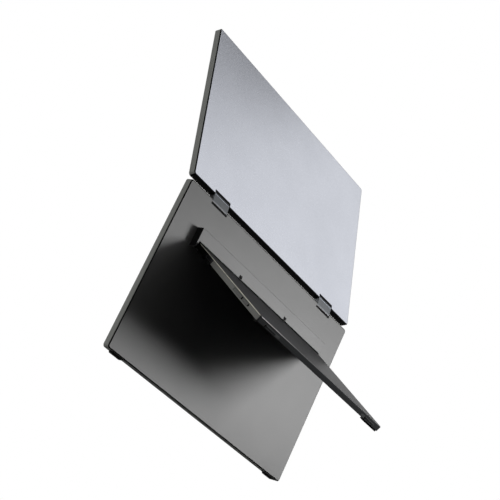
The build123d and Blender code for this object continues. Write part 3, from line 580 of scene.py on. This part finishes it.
def add_object(name: str, data: bpy.types.ID) -> Object:
    """Add an object to the scene.

    Args:
        name: Its name.
        data: Its mesh, lamp or camera.

    Returns:
        The object, at the origin.
    """
    item = bpy.data.objects.new(name, data)
    bpy.context.scene.collection.objects.link(item)
    return item


def add_form(name: str, form: bmesh.types.BMesh, material: Material) -> Object:
    """Turn a form into an object.

    Args:
        name: The object's name.
        form: The form, which is used up.
        material: Its material.

    Returns:
        The object, at the origin.
    """
    mesh = bpy.data.meshes.new(name)
    form.to_mesh(mesh)
    form.free()
    mesh.materials.append(material)
    return add_object(name, mesh)


def rounded(middle: Point, size: Point, radius: float, steps: int = 6) -> list[Point]:
    """Draw a rectangle with rounded corners.

    Args:
        middle: Its middle.
        size: Its width and height.
        radius: Its corners' radius.
        steps: How many straight pieces each corner has.

    Returns:
        The outline's points, anticlockwise.
    """
    points = []
    for quarter, (right, up) in enumerate(((1, 1), (-1, 1), (-1, -1), (1, -1))):
        x = middle[0] + right * (size[0] / 2 - radius)
        y = middle[1] + up * (size[1] / 2 - radius)
        for step in range(steps + 1):
            turn = radians(90.0 * (quarter + step / steps))
            points.append((x + radius * cos(turn), y + radius * sin(turn)))
    return points


@dataclass(frozen=True)
class Trim:
    """Thin plates on a face: let into it, standing out of it, and softened around their outside."""

    sunk: float
    proud: float
    softening: float = 0.05
    corner: float = 0.0
    steps: int = 6

    def shapes(self, size: Point, middles: list[Point]) -> list[list[Point]]:
        """Draw rectangles of one size around their middles, with this trim's corners."""
        return [rounded(middle, size, self.corner, self.steps) for middle in middles]

    def make(
        self,
        name: str,
        outlines: list[list[Point]],
        places: list[Matrix],
        finish: Finish,
        level: float = 0.0,
    ) -> Object:
        """Raise plates from a face.

        Args:
            name: The piece's name.
            outlines: The plates' outlines.
            places: Matrices that the outlines are set by, from millimetres to metres.
            finish: The plates' finish.
            level: The face's level.

        Returns:
            The plates as one mesh.
        """
        form = bmesh.new()
        levels = (level - self.sunk, level + self.proud)
        for place in places:
            for outline in outlines:
                self.raise_one(form, outline, levels, place)
        bmesh.ops.recalc_face_normals(form, faces=form.faces)
        return add_form(name, form, finish.shared())

    def raise_one(
        self, form: bmesh.types.BMesh, outline: list[Point], levels: Point, place: Matrix
    ) -> None:
        """Raise one outline, soften it and set it in its place.

        Args:
            form: The mesh that gets the plate.
            outline: The plate's points.
            levels: Where the plate starts and ends.
            place: The matrix from the outline's millimetres to metres.
        """
        foot, head = ([form.verts.new((x, y, z)) for x, y in outline] for z in levels)
        form.faces.new(foot[::-1])
        lid = form.faces.new(head)
        for i in range(len(outline)):
            j = (i + 1) % len(outline)
            form.faces.new((foot[i], foot[j], head[j], head[i]))
        kept = set(form.verts) - set(foot) - set(head)
        edges = list(lid.edges)
        bmesh.ops.bevel(
            form, geom=edges, offset=self.softening, segments=2, profile=0.5, affect="EDGES"
        )
        fresh = [vert for vert in form.verts if vert not in kept]
        bmesh.ops.transform(form, matrix=place, verts=fresh)


@dataclass
class Surround:
    """A flat ring between two outlines that have as many points, around an opening."""

    outer: list[Point]
    inner: list[Point]
    low: float
    high: float

    def make(self, name: str, place: Matrix, finish: Finish) -> Object:
        """Build the ring.

        Args:
            name: The piece's name.
            place: The matrix that the ring is set by, from millimetres to metres.
            finish: The ring's finish.

        Returns:
            The ring as a mesh.
        """
        form = bmesh.new()
        rails = [(self.outer, self.low), (self.outer, self.high)]
        rails += [(self.inner, self.high), (self.inner, self.low)]
        loops = [[form.verts.new(place @ Vector((x, y, z))) for x, y in rail] for rail, z in rails]
        for one, two in zip(loops, loops[1:] + loops[:1]):
            for i in range(len(one)):
                j = (i + 1) % len(one)
                form.faces.new((one[i], one[j], two[j], two[i]))
        bmesh.ops.recalc_face_normals(form, faces=form.faces)
        return add_form(name, form, finish.shared())


@dataclass
class Growth:
    """Small forms that a node tree sets on points, with their sizes as the tree's named inputs."""

    def form(self, tree: Tree, given: Any) -> Inputs:
        """Build the form and its points, which each kind does in its own way."""
        raise NotImplementedError(type(self).__name__)

    def tree(self, name: str, values: dict[str, Any], finish: Finish) -> Tree:
        """Build the node tree.

        Args:
            name: The tree's name.
            values: What its inputs will be set to, numbers or vectors, by their names.
            finish: The finish of what it makes.

        Returns:
            The tree.
        """
        tree = bpy.data.node_groups.new(name, "GeometryNodeTree")
        tree.interface.new_socket("Seeds", in_out="INPUT", socket_type="NodeSocketGeometry")
        for label, value in values.items():
            kind = "NodeSocketFloat" if isinstance(value, float) else "NodeSocketVector"
            tree.interface.new_socket(label, in_out="INPUT", socket_type=kind)
        tree.interface.new_socket("Forms", in_out="OUTPUT", socket_type="NodeSocketGeometry")
        given = add_node(tree, "NodeGroupInput").outputs
        forms = add_node(tree, "GeometryNodeInstanceOnPoints", self.form(tree, given)).outputs[0]
        real = add_node(tree, "GeometryNodeRealizeInstances", {"Geometry": forms}).outputs[0]
        dressed = {"Geometry": real, "Material": finish.shared()}
        done = add_node(tree, "GeometryNodeSetMaterial", dressed).outputs[0]
        add_node(tree, "NodeGroupOutput", {"Forms": done})
        return tree

    def make(
        self,
        name: str,
        seeds: tuple[list[Any], list[Any]],
        finish: Finish,
        unit: float = 1.0,
        more: dict[str, Any] | None = None,
    ) -> Object:
        """Run the node tree on seeds and keep the result as a plain mesh.

        Args:
            name: The piece's name.
            seeds: The points, and the pairs of them that lines join.
            finish: The forms' finish.
            unit: How long a millimetre is between the points.
            more: Further inputs of the tree, by their names.

        Returns:
            The piece, with no modifier left on it.
        """
        sizes = {field.name: getattr(self, field.name) * unit for field in fields(self)}
        values = {label.replace("_", " ").title(): size for label, size in sizes.items()}
        values |= more or {}
        mesh = bpy.data.meshes.new(name)
        mesh.from_pydata(*seeds, [])
        piece = add_object(name, mesh)
        modifier = piece.modifiers.new("grow", "NODES")
        modifier.node_group = self.tree(name, values, finish)
        sockets = modifier.node_group.interface.items_tree
        keys = {socket.name: socket.identifier for socket in sockets if socket.in_out == "INPUT"}
        for label, value in values.items():
            modifier[keys[label]] = value
        graph = bpy.context.evaluated_depsgraph_get()
        mesh = bpy.data.meshes.new_from_object(piece.evaluated_get(graph), depsgraph=graph)
        mesh.name = name
        piece.modifiers.clear()
        piece.data = mesh
        return piece


@dataclass
class ScrewSet(Growth):
    """Wafer-head screws with a cross recess, which all face along one axis."""

    head_radius: float = 1.5
    head_height: float = 0.3
    recess_length: float = 1.7
    recess_width: float = 0.42
    recess_depth: float = 0.22

    def form(self, tree: Tree, given: Any) -> Inputs:
        """Build a head with its recess, turned along the axis on each point.

        Args:
            tree: The node tree.
            given: The sockets of what the tree is given.

        Returns:
            The points, the head and its turn, by the names of what they feed.
        """
        disc = {"Radius": given["Head Radius"], "Depth": given["Head Height"]}
        disc |= {"Vertices": SCREW_HEAD_SIDES}
        head = add_node(tree, "GeometryNodeMeshCylinder", disc).outputs["Mesh"]
        half = {0: given["Head Height"], 1: 0.5}
        top = add_node(tree, "ShaderNodeMath", half, operation="MULTIPLY").outputs[0]
        lift = add_node(tree, "ShaderNodeCombineXYZ", {"Z": top}).outputs[0]
        double = {0: given["Recess Depth"], 1: 2.0}
        depth = add_node(tree, "ShaderNodeMath", double, operation="MULTIPLY").outputs[0]
        cut = add_node(tree, "GeometryNodeMeshBoolean", {"Mesh 1": head}, operation="DIFFERENCE")
        for long, short in (("X", "Y"), ("Y", "X")):
            sizes = {long: given["Recess Length"], short: given["Recess Width"], "Z": depth}
            size = add_node(tree, "ShaderNodeCombineXYZ", sizes).outputs[0]
            bar = add_node(tree, "GeometryNodeMeshCube", {"Size": size}).outputs["Mesh"]
            raised = {"Geometry": bar, "Translation": lift}
            arm = add_node(tree, "GeometryNodeTransform", raised).outputs[0]
            tree.links.new(arm, cut.inputs["Mesh 2"])
        axis = {"Vector": given["Axis"]}
        turn = add_node(tree, "FunctionNodeAlignRotationToVector", axis, axis="Z").outputs[0]
        points = add_node(tree, "GeometryNodeMeshToPoints", {"Mesh": given["Seeds"]}).outputs[0]
        return {"Points": points, "Instance": cut.outputs["Mesh"], "Rotation": turn}


@dataclass
class GrilleRibs(Growth):
    """Upright ribs in a sound slot, in front of its mesh strip."""

    pitch: float = 1.1
    rib_width: float = 0.5
    rib_height: float = 1.5
    rib_depth: float = 0.1

    def form(self, tree: Tree, given: Any) -> Inputs:
        """Build a rib, and the points along the slots that it is set on.

        Args:
            tree: The node tree.
            given: The sockets of what the tree is given.

        Returns:
            The points and the rib, by the names of what they feed.
        """
        line = add_node(tree, "GeometryNodeMeshToCurve", {"Mesh": given["Seeds"]}).outputs[0]
        divided = {"Curve": line, "Length": given["Pitch"]}
        points = add_node(tree, "GeometryNodeResampleCurve", divided, mode="LENGTH").outputs[0]
        sizes = {"X": given["Rib Width"], "Y": given["Rib Height"], "Z": given["Rib Depth"]}
        size = add_node(tree, "ShaderNodeCombineXYZ", sizes).outputs[0]
        rib = add_node(tree, "GeometryNodeMeshCube", {"Size": size}).outputs["Mesh"]
        return {"Points": points, "Instance": rib}


@dataclass
class DisplayPanel:
    """One of the two panels: its frame, skins, display and driver board."""

    body: Body
    plane: LeaningPlane
    rear: AnodisedAluminium
    paint: CastMetal
    height: float = 214.4
    hinge_x: float = 120.0
    seal_length: float = 31.2
    seal_thickness: float = 0.16
    seal: Point = (2.95, 5.9)
    lip_width: float = 0.3

    def add_strips(self, name: str, depths: Point, finish: Finish) -> None:
        """Lay a strip over the back of each hinge notch.

        Args:
            name: What the strips are.
            depths: Where they start and end, in from the hinge edge.
            finish: The strips' finish.
        """
        width = depths[1] - depths[0]
        y = (depths[0] + depths[1]) / 2
        if self.body is Body.LOWER:
            y = self.height - y
        strip = Trim(0.0, self.seal_thickness, corner=width / 4)
        strips = strip.shapes((self.seal_length, width), [(x * self.hinge_x, y) for x in SIDES])
        piece = strip.make(
            f"{self.body.value}_hinge_{name}", strips, [self.plane.matrix()], finish
        )
        settle(piece, self.body)

    def add_hinge_seals(self) -> None:
        """Lay a black strip over each notch as painted shade of its gap, the lower ones with a lip
        in the cover's finish.
        """
        start, end = self.seal
        if self.body is Body.LOWER:
            self.add_strips("lips", (start, start + self.lip_width), self.rear)
            start += self.lip_width
        # Painted shade: the black strips stand for the shadow in each notch's gap
        self.add_strips("seals", (start, end), BLACK_PART_AND_SHADE_PLASTIC)

    def dress(self) -> None:
        """Give the panel's CAD nodes their finishes."""
        parts = {
            "rear_cover": self.rear,
            "frame": self.paint,
            "bezel": BEZEL_PLASTIC,
            "lcd_cell": DISPLAY_GLASS,
            "backlight": BACKLIGHT_PLASTIC,
            "driver_board": CIRCUIT_BOARD,
            "shaft_left": HINGE_STEEL,
            "shaft_right": HINGE_STEEL,
        }
        for part, finish in parts.items():
            dress(finish, f"{self.body.value}_{part}")


@dataclass
class FoldHinges:
    """The two dual-axis hinges between the panels."""

    hinge_x: float = 120.0
    back_level: float = 3.8
    line_y: float = 8.6
    line_size: Point = (29.0, 0.6)
    line: Trim = Trim(sunk=0.05, proud=0.04, softening=0.02, corner=0.2)

    def add_link_lines(self) -> None:
        """Lay a pale line along the upper end of each link's back, a painted highlight of its
        rounded edge.
        """
        middles = [(x * self.hinge_x, self.line_y) for x in SIDES]
        lines = self.line.shapes(self.line_size, middles)
        piece = self.line.make("link_lines", lines, [LINK.matrix()], LINK_PAINTED_HIGHLIGHT, self.back_level)
        settle(piece, Body.LINKS)

    def dress(self) -> None:
        """Give the hinges' CAD nodes their finishes."""
        dress(HINGE_CASTING, "hinge_link_left", "hinge_link_right")
        dress(CAP_AND_SHADE_PLASTIC, "link_caps")
        dress(SPRING_STEEL, "torque_sleeve_left", "torque_sleeve_right")


@dataclass
class StandMount:
    """The raised block on the lower panel's back, the arms inside it and the rubber feet."""

    half_width: float = 137.3
    height: float = 9.6
    low_end: float = 152.0
    low_edge: float = 160.1
    high_end: float = 175.5
    bevel: float = 0.5
    corner: float = 4.2
    corner_steps: int = 8
    cap_foot: float = 0.02
    cap_inset: float = 0.1
    cap: Trim = Trim(sunk=0.02, proud=0.25, softening=0.12)
    lip_size: Point = (268.4, 0.65)
    lip_overhang: float = 0.1
    lip: Trim = Trim(sunk=0.05, proud=0.04, softening=0.01, corner=0.1, steps=2)
    tip_x: float = 50.0
    tip_size: Point = (5.0, 3.9)
    tip_overlap: float = 0.4
    tip: Trim = Trim(sunk=0.0, proud=0.3, softening=0.15, corner=0.8)

    def cap_outline(self) -> list[Point]:
        """Draw the ear's outline, a little inside its edges.

        Returns:
            The outline's points: along the panel, and out of it.
        """
        start = self.low_end + self.cap_inset
        end = self.high_end - self.cap_inset
        top = self.height - self.cap_inset
        middle = (self.low_end + self.corner, self.height - self.corner)
        reach = self.corner - self.cap_inset
        points = [(start, self.cap_foot)]
        for step in range(self.corner_steps + 1):
            turn = radians(180.0 - 90.0 * step / self.corner_steps)
            points.append((middle[0] + reach * cos(turn), middle[1] + reach * sin(turn)))
        points += [(self.high_end - self.bevel, top), (end, top - self.bevel), (end, self.cap_foot)]
        return points

    def add_end_caps(self) -> None:
        """Close both ends of the block with a black cap that follows the ear's outline, as painted
        shade of its shaded ends.
        """
        places = [LOWER.wall((x * self.half_width, 0, 0), ALONG, (x, 0, 0)) for x in SIDES]
        piece = self.cap.make("block_end_shade_caps", [self.cap_outline()], places, CAP_AND_SHADE_PLASTIC)
        settle(piece, Body.LOWER)

    def add_block_lip(self) -> None:
        """Lay a thin lip over the block's lower bevel, so that its face ends in a sharp edge."""
        middle = (0.0, self.low_edge - self.lip_overhang + self.lip_size[1] / 2)
        lips = self.lip.shapes(self.lip_size, [middle])
        piece = self.lip.make("block_lip", lips, [LOWER.matrix()], GREY_ALUMINIUM, self.height)
        settle(piece, Body.LOWER)

    def add_arm_tips(self) -> None:
        """Put the black tip of each arm on the block's lower edge."""
        y = self.low_edge + self.bevel + self.tip_size[1] / 2 - self.tip_overlap
        tips = self.tip.shapes(self.tip_size, [(x * self.tip_x, y) for x in SIDES])
        piece = self.tip.make("arm_tips", tips, [LOWER.matrix()], BLACK_PART_AND_SHADE_PLASTIC, self.height)
        settle(piece, Body.LOWER)

    def dress(self) -> None:
        """Give the mount's CAD nodes, and the rubber of both panels, their finishes."""
        dress(GREY_ALUMINIUM, "stand_block")
        dress(ARM_STEEL, "stand_arms")
        dress(BLACK_RUBBER, "closing_bumpers")
        dress(FOOT_RUBBER, "panel_feet", "stand_feet")


@dataclass
class StandPlate:
    """The stand plate with its electronics, sockets, keys and speakers."""

    half_width: float = 134.6
    depth: float = 154.0
    inner_level: float = -2.7
    outer_level: float = 4.2
    edge_bevel: float = 0.7
    screw_side_gap: float = 7.0
    screw_start: float = 14.0
    screw_end_gap: float = 9.0
    line_widths: Point = (0.95, 0.72)
    line_gaps: Point = (7.0, 4.0)
    line_shift: float = 2.0
    line: Trim = Trim(sunk=0.03, proud=0.03, softening=0.02, corner=0.2, steps=2)
    power_key: Point = (116.0, 128.0)
    menu_rocker: Point = (96.3, 113.7)
    key_level: float = 0.6
    key_height: float = 2.6
    key_gap: float = 0.25
    gasket_growth: Point = (1.5, 0.5)
    gasket_corners: Point = (0.7, 0.9)
    gasket_levels: Point = (-0.02, 0.06)
    stop_size: Point = (2.1, 2.6)
    stop_gaps: Point = (1.15, 1.3)
    stop: Trim = Trim(sunk=0.0, proud=0.14, softening=0.02, corner=0.6)
    bezel_size: Point = (30.6, 3.05)
    bezel_middle: Point = (106.7, -0.42)
    bezel: Trim = Trim(sunk=0.02, proud=0.12, softening=0.1, corner=1.3)
    slot_size: Point = (21.8, 1.7)
    slot_middle: Point = (110.4, -0.75)
    slot: Trim = Trim(sunk=0.0, proud=0.15, softening=0.01)
    hole_size: float = 3.1
    tick_shade_corner: float = 1.1
    tick_shade_lift: float = 0.1
    rib_gaps: Point = (0.9, 2.6)
    rib_level: float = 0.18

    def add_cover_screws(self) -> None:
        """Put the four screws that hold the inner sheet on its face."""
        place = STAND.matrix()
        x = self.half_width - self.screw_side_gap
        rows = (self.screw_start, self.depth - self.screw_end_gap)
        spots = [(side * x, y, self.inner_level) for side in SIDES for y in rows]
        seeds = ([place @ Vector(spot) for spot in spots], [])
        axis = (place.to_3x3() @ Vector(IN)).normalized()
        screws = ScrewSet().make("cover_screws", seeds, SCREW_STEEL, MM, {"Axis": tuple(axis)})
        settle(screws, Body.STAND)

    def add_edge_highlights(self) -> None:
        """Lay a pale line along the outer face's two sides and free edge, a painted highlight of
        its edges.
        """
        half = self.edge_bevel / 2
        x = self.half_width - half
        y = self.depth - half
        z = self.outer_level - half
        sides = [STAND.wall((way * x, 0, z), ALONG, (way, 0, 1)) for way in SIDES]
        edge = [STAND.wall((0, y, z), RIGHT, (0, 1, 1))]
        size = (self.depth - self.line_gaps[0], self.line_widths[0])
        lines = self.line.shapes(size, [(self.depth / 2 + self.line_shift, 0.0)])
        piece = self.line.make("stand_side_painted_highlights", lines, sides, SIDE_PAINTED_HIGHLIGHT)
        settle(piece, Body.STAND)
        size = (2 * self.half_width - self.line_gaps[1], self.line_widths[1])
        lines = self.line.shapes(size, [(0.0, 0.0)])
        piece = self.line.make("stand_edge_painted_highlight", lines, edge, FREE_EDGE_PAINTED_HIGHLIGHT)
        settle(piece, Body.STAND)

    def add_key_gaskets(self) -> None:
        """Set a black ring around each key, and a black mark at both ends of the power key, as
        painted shade of the gaps.
        """
        place = STAND.wall((self.half_width, 0, 0), ALONG, RIGHT)
        broader, higher = self.gasket_growth
        inside, outside = self.gasket_corners
        for name, (start, end) in (("power", self.power_key), ("rocker", self.menu_rocker)):
            middle = ((start + end) / 2, self.key_level)
            hole = (end - start + 2 * self.key_gap, self.key_height + 2 * self.key_gap)
            inner = rounded(middle, hole, inside)
            outer = rounded(middle, (hole[0] + broader, hole[1] + higher), outside)
            # Painted shade: a black ring for the shadow in the gap around the key
            ring = Surround(outer, inner, *self.gasket_levels)
            shade_ring = ring.make(f"{name}_key_gasket", place, BLACK_PART_AND_SHADE_PLASTIC)
            settle(shade_ring, Body.STAND)
        # Painted shade: black marks for the deep shadow at the power key's ends
        ends = (self.power_key[0] - self.stop_gaps[0], self.power_key[1] + self.stop_gaps[1])
        end_shades = self.stop.shapes(self.stop_size, [(end, self.key_level) for end in ends])
        piece = self.stop.make("power_key_end_shades", end_shades, [place], BLACK_PART_AND_SHADE_PLASTIC)
        settle(piece, Body.STAND)

    def add_sound_slots(self) -> None:
        """Set a bezel with a black ribbed slot at both ends of the free edge, with a black square
        at each slot's +x end as painted shade.
        """
        place = STAND.wall((0, self.depth, 0), RIGHT, ALONG)
        bezels = []
        slots = []
        ends = []
        for way in SIDES:
            bezels.append((way * self.bezel_middle[0], self.bezel_middle[1]))
            x, y = way * self.slot_middle[0], self.slot_middle[1]
            slots.append(rounded((x, y), self.slot_size, self.slot_size[1] / 2))
            start, end = x - self.slot_size[0] / 2, x + self.slot_size[0] / 2
            # Painted shade: a black square at the slot's +x end for the shadow there
            hole = (end - self.hole_size / 2, y + self.tick_shade_lift)
            slots.append(rounded(hole, (self.hole_size, self.hole_size), self.tick_shade_corner))
            ends.append((start + self.rib_gaps[0], y, self.rib_level))
            ends.append((end - self.rib_gaps[1], y, self.rib_level))
        bezels = self.bezel.shapes(self.bezel_size, bezels)
        piece = self.bezel.make("sound_bezels", bezels, [place], SOUND_BEZEL)
        settle(piece, Body.STAND)
        piece = self.slot.make("sound_mesh_and_shade_ticks", slots, [place], BLACK_PART_AND_SHADE_PLASTIC)
        settle(piece, Body.STAND)
        # Each row of ribs runs between the two ends of one slot
        rows = [(0, 1), (2, 3)]
        piece = GrilleRibs().make("sound_ribs", (ends, rows), STAND_ALUMINIUM_AND_SHADE)
        piece.data.transform(place)
        settle(piece, Body.STAND)

    def dress(self) -> None:
        """Give the stand's CAD nodes their finishes."""
        dress(STAND_ALUMINIUM_AND_SHADE, "stand_shell", "stand_cover")
        dress(HINGE_STEEL, "stand_shaft")
        dress(CIRCUIT_BOARD, "main_board", "key_board")
        dress(CHIP_PLASTIC, "board_chips", "video_chip", "key_switches")
        dress(SPREADER_METAL, "heat_spreader")
        dress(SOCKET_METAL, "usb_c_sockets")
        dress(SOCKET_PLASTIC, "mini_hdmi_socket", "speaker_left", "speaker_right")
        dress(KEY_PLASTIC, "power_key", "menu_rocker")
        dress(GRILLE_METAL, "speaker_grilles")


@dataclass(frozen=True)
class Softbox:
    """A rectangular softbox: where it hangs, what it faces, its size in metres and its watts.

    Its spread, in degrees, is narrower where a grid in front of it keeps the light together.
    """

    name: str
    place: Triple
    aim: Triple
    size: Point
    power: float
    spread: float = 180.0
    mirrored: bool = True

    def hang(self) -> None:
        """Hang the softbox, which the camera doesn't see."""
        lamp = bpy.data.lights.new(self.name, "AREA")
        lamp.shape = "RECTANGLE"
        lamp.size, lamp.size_y = self.size
        lamp.energy = self.power
        lamp.spread = radians(self.spread)
        softbox = add_object(self.name, lamp)
        softbox.location = self.place
        aim = Vector(self.aim) - Vector(self.place)
        softbox.rotation_euler = aim.to_track_quat("-Z", "Y").to_euler()
        softbox.visible_camera = False
        softbox.visible_glossy = self.mirrored


REAR_SOFTBOX = Softbox(
    "rear_softbox",
    place=(-0.8244, 0.8036, -0.0947),
    aim=(0.068, 0.0, -0.019),
    size=(0.446, 0.278),
    power=6.93,
    spread=140.0,
)
FRONT_SOFTBOX = Softbox(
    "front_softbox", place=(1.2, -1.0, 0.6), aim=(0.0, 0.0, 0.18), size=(0.8, 0.8), power=22.0
)
OVERHEAD_SOFTBOX = Softbox(
    "overhead_softbox",
    place=(0.0, -0.3, 2.6),
    aim=(0.0, -0.29, 0.0),
    size=(5.0, 5.0),
    power=60.0,
    spread=60.0,
    mirrored=False,
)


@dataclass
class Studio:
    """Camera, lights, world, floor and ceiling cloth, in metres and degrees."""

    focal_length: float = 104.12
    sensor_width: float = 36.0
    view_end: float = 20.0
    camera_place: Triple = (1.1951, 0.70983, -0.85816)
    camera_turn: Triple = (127.6299, 0.8654, 121.6156)
    softboxes: tuple[Softbox, ...] = (REAR_SOFTBOX, FRONT_SOFTBOX, OVERHEAD_SOFTBOX)
    room_level: float = 0.03
    floor_size: float = 6.0
    floor_colour: str = "e9e9e7"
    bounce_colour: str = "505050"
    floor_fade: Point = (0.5, 1.6)
    ceiling_size: float = 3.766
    ceiling_height: float = 2.0
    ceiling_colour: str = "121212"

    def place_camera(self) -> None:
        """Put the camera at the photograph's viewpoint."""
        lens = bpy.data.cameras.new("photograph_view")
        lens.lens = self.focal_length
        lens.sensor_width = self.sensor_width
        lens.clip_end = self.view_end
        camera = add_object("photograph_view", lens)
        camera.location = self.camera_place
        camera.rotation_euler = Euler([radians(turn) for turn in self.camera_turn])
        bpy.context.scene.camera = camera

    def light_room(self) -> None:
        """Make the world: white where it is seen or mirrored, much darker where it lights."""
        world = bpy.data.worlds.new("white_room")
        bpy.context.scene.world = world
        world.use_nodes = True
        tree = world.node_tree
        tree.nodes.clear()
        rays = add_node(tree, "ShaderNodeLightPath").outputs
        seen = any_of(
            tree, rays["Is Camera Ray"], rays["Is Glossy Ray"], rays["Is Transmission Ray"]
        )
        level = {"Value": seen, "To Min": self.room_level, "To Max": 1.0}
        strength = add_node(tree, "ShaderNodeMapRange", level).outputs["Result"]
        light = {"Color": srgb(WHITE), "Strength": strength}
        background = add_node(tree, "ShaderNodeBackground", light).outputs[0]
        add_node(tree, "ShaderNodeOutputWorld", {"Surface": background})

    def spread_sheet(self, name: str, size: float, height: float, material: Material) -> Object:
        """Spread a flat square sheet that isn't part of the object.

        Args:
            name: The sheet's name.
            size: How long its sides are.
            height: How high it lies.
            material: Its material.

        Returns:
            The sheet.
        """
        form = bmesh.new()
        bmesh.ops.create_grid(form, x_segments=1, y_segments=1, size=size / 2)
        bmesh.ops.translate(form, verts=form.verts, vec=(0.0, 0.0, height))
        sheet = add_form(name, form, material)
        return sheet

    def floor_paper(self) -> Material:
        """Make the floor's pale paper, which fades to white and is clear from below.

        It throws less light back than it seems to, so that it doesn't light the object from below.

        Returns:
            The material.
        """
        material, tree = new_material("pale_paper_sweep")
        rays = add_node(tree, "ShaderNodeLightPath").outputs
        seen = any_of(tree, rays["Is Camera Ray"], rays["Is Glossy Ray"])
        tones = {"Factor": seen}
        tones |= {FIRST_COLOUR: srgb(self.bounce_colour), SECOND_COLOUR: srgb(self.floor_colour)}
        tone = add_node(tree, "ShaderNodeMix", tones, data_type="RGBA").outputs[MIXED_COLOUR]
        near_by = add_node(tree, "ShaderNodeBsdfDiffuse", {"Color": tone}).outputs[0]
        far_off = add_node(tree, "ShaderNodeEmission", {"Color": srgb(WHITE)}).outputs[0]
        place = add_node(tree, "ShaderNodeTexCoord").outputs["Object"]
        reach = add_node(tree, "ShaderNodeVectorMath", {0: place}, operation="LENGTH")
        start, end = self.floor_fade
        fade = {"Value": reach.outputs["Value"], "From Min": start, "From Max": end}
        faded = add_node(tree, "ShaderNodeMapRange", fade, interpolation_type="SMOOTHSTEP")
        pair = {0: faded.outputs[0], 1: seen}
        faded = add_node(tree, "ShaderNodeMath", pair, operation="MULTIPLY").outputs[0]
        sweep = {"Fac": faded, 1: near_by, 2: far_off}
        paper = add_node(tree, "ShaderNodeMixShader", sweep).outputs[0]
        clear = add_node(tree, "ShaderNodeBsdfTransparent").outputs[0]
        below = add_node(tree, "ShaderNodeNewGeometry").outputs["Backfacing"]
        let_through = any_of(tree, below, rays["Is Shadow Ray"])
        both = {"Fac": let_through, 1: paper, 2: clear}
        surface = add_node(tree, "ShaderNodeMixShader", both).outputs[0]
        add_node(tree, "ShaderNodeOutputMaterial", {"Surface": surface})
        return material

    def hang_ceiling(self) -> None:
        """Hang the dark ceiling cloth, which only shows in what the silver cover mirrors."""
        material, tree = new_material("black_ceiling_cloth")
        cloth = add_node(tree, "ShaderNodeBsdfDiffuse", {"Color": srgb(self.ceiling_colour)})
        add_node(tree, "ShaderNodeOutputMaterial", {"Surface": cloth.outputs[0]})
        ceiling = self.spread_sheet(
            "ceiling_cloth", self.ceiling_size, self.ceiling_height, material
        )
        ceiling.visible_camera = False
        ceiling.visible_diffuse = False
        ceiling.visible_shadow = False

    def build(self) -> None:
        """Set up the whole studio."""
        bpy.context.scene.view_settings.view_transform = "Standard"
        self.place_camera()
        self.light_room()
        for softbox in self.softboxes:
            softbox.hang()
        self.spread_sheet("floor", self.floor_size, 0.0, self.floor_paper())
        self.hang_ceiling()


def main() -> None:
    """Build every sub-assembly in order, then the studio."""
    logging.basicConfig(level=logging.INFO, format="%(message)s")
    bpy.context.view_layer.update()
    lower = DisplayPanel(Body.LOWER, LOWER, GREY_ALUMINIUM, LOWER_PAINT_AND_SHADE)
    upper = DisplayPanel(Body.UPPER, UPPER, SILVER_ALUMINIUM, UPPER_PAINT_AND_SHADE)
    for panel in (lower, upper):
        panel.dress()
        panel.add_hinge_seals()
    hinges = FoldHinges()
    hinges.dress()
    hinges.add_link_lines()
    mount = StandMount()
    mount.dress()
    mount.add_end_caps()
    mount.add_block_lip()
    mount.add_arm_tips()
    stand = StandPlate()
    stand.dress()
    stand.add_cover_screws()
    stand.add_edge_highlights()
    stand.add_key_gaskets()
    stand.add_sound_slots()
    Studio().build()


if __name__ == "__main__":
    main()
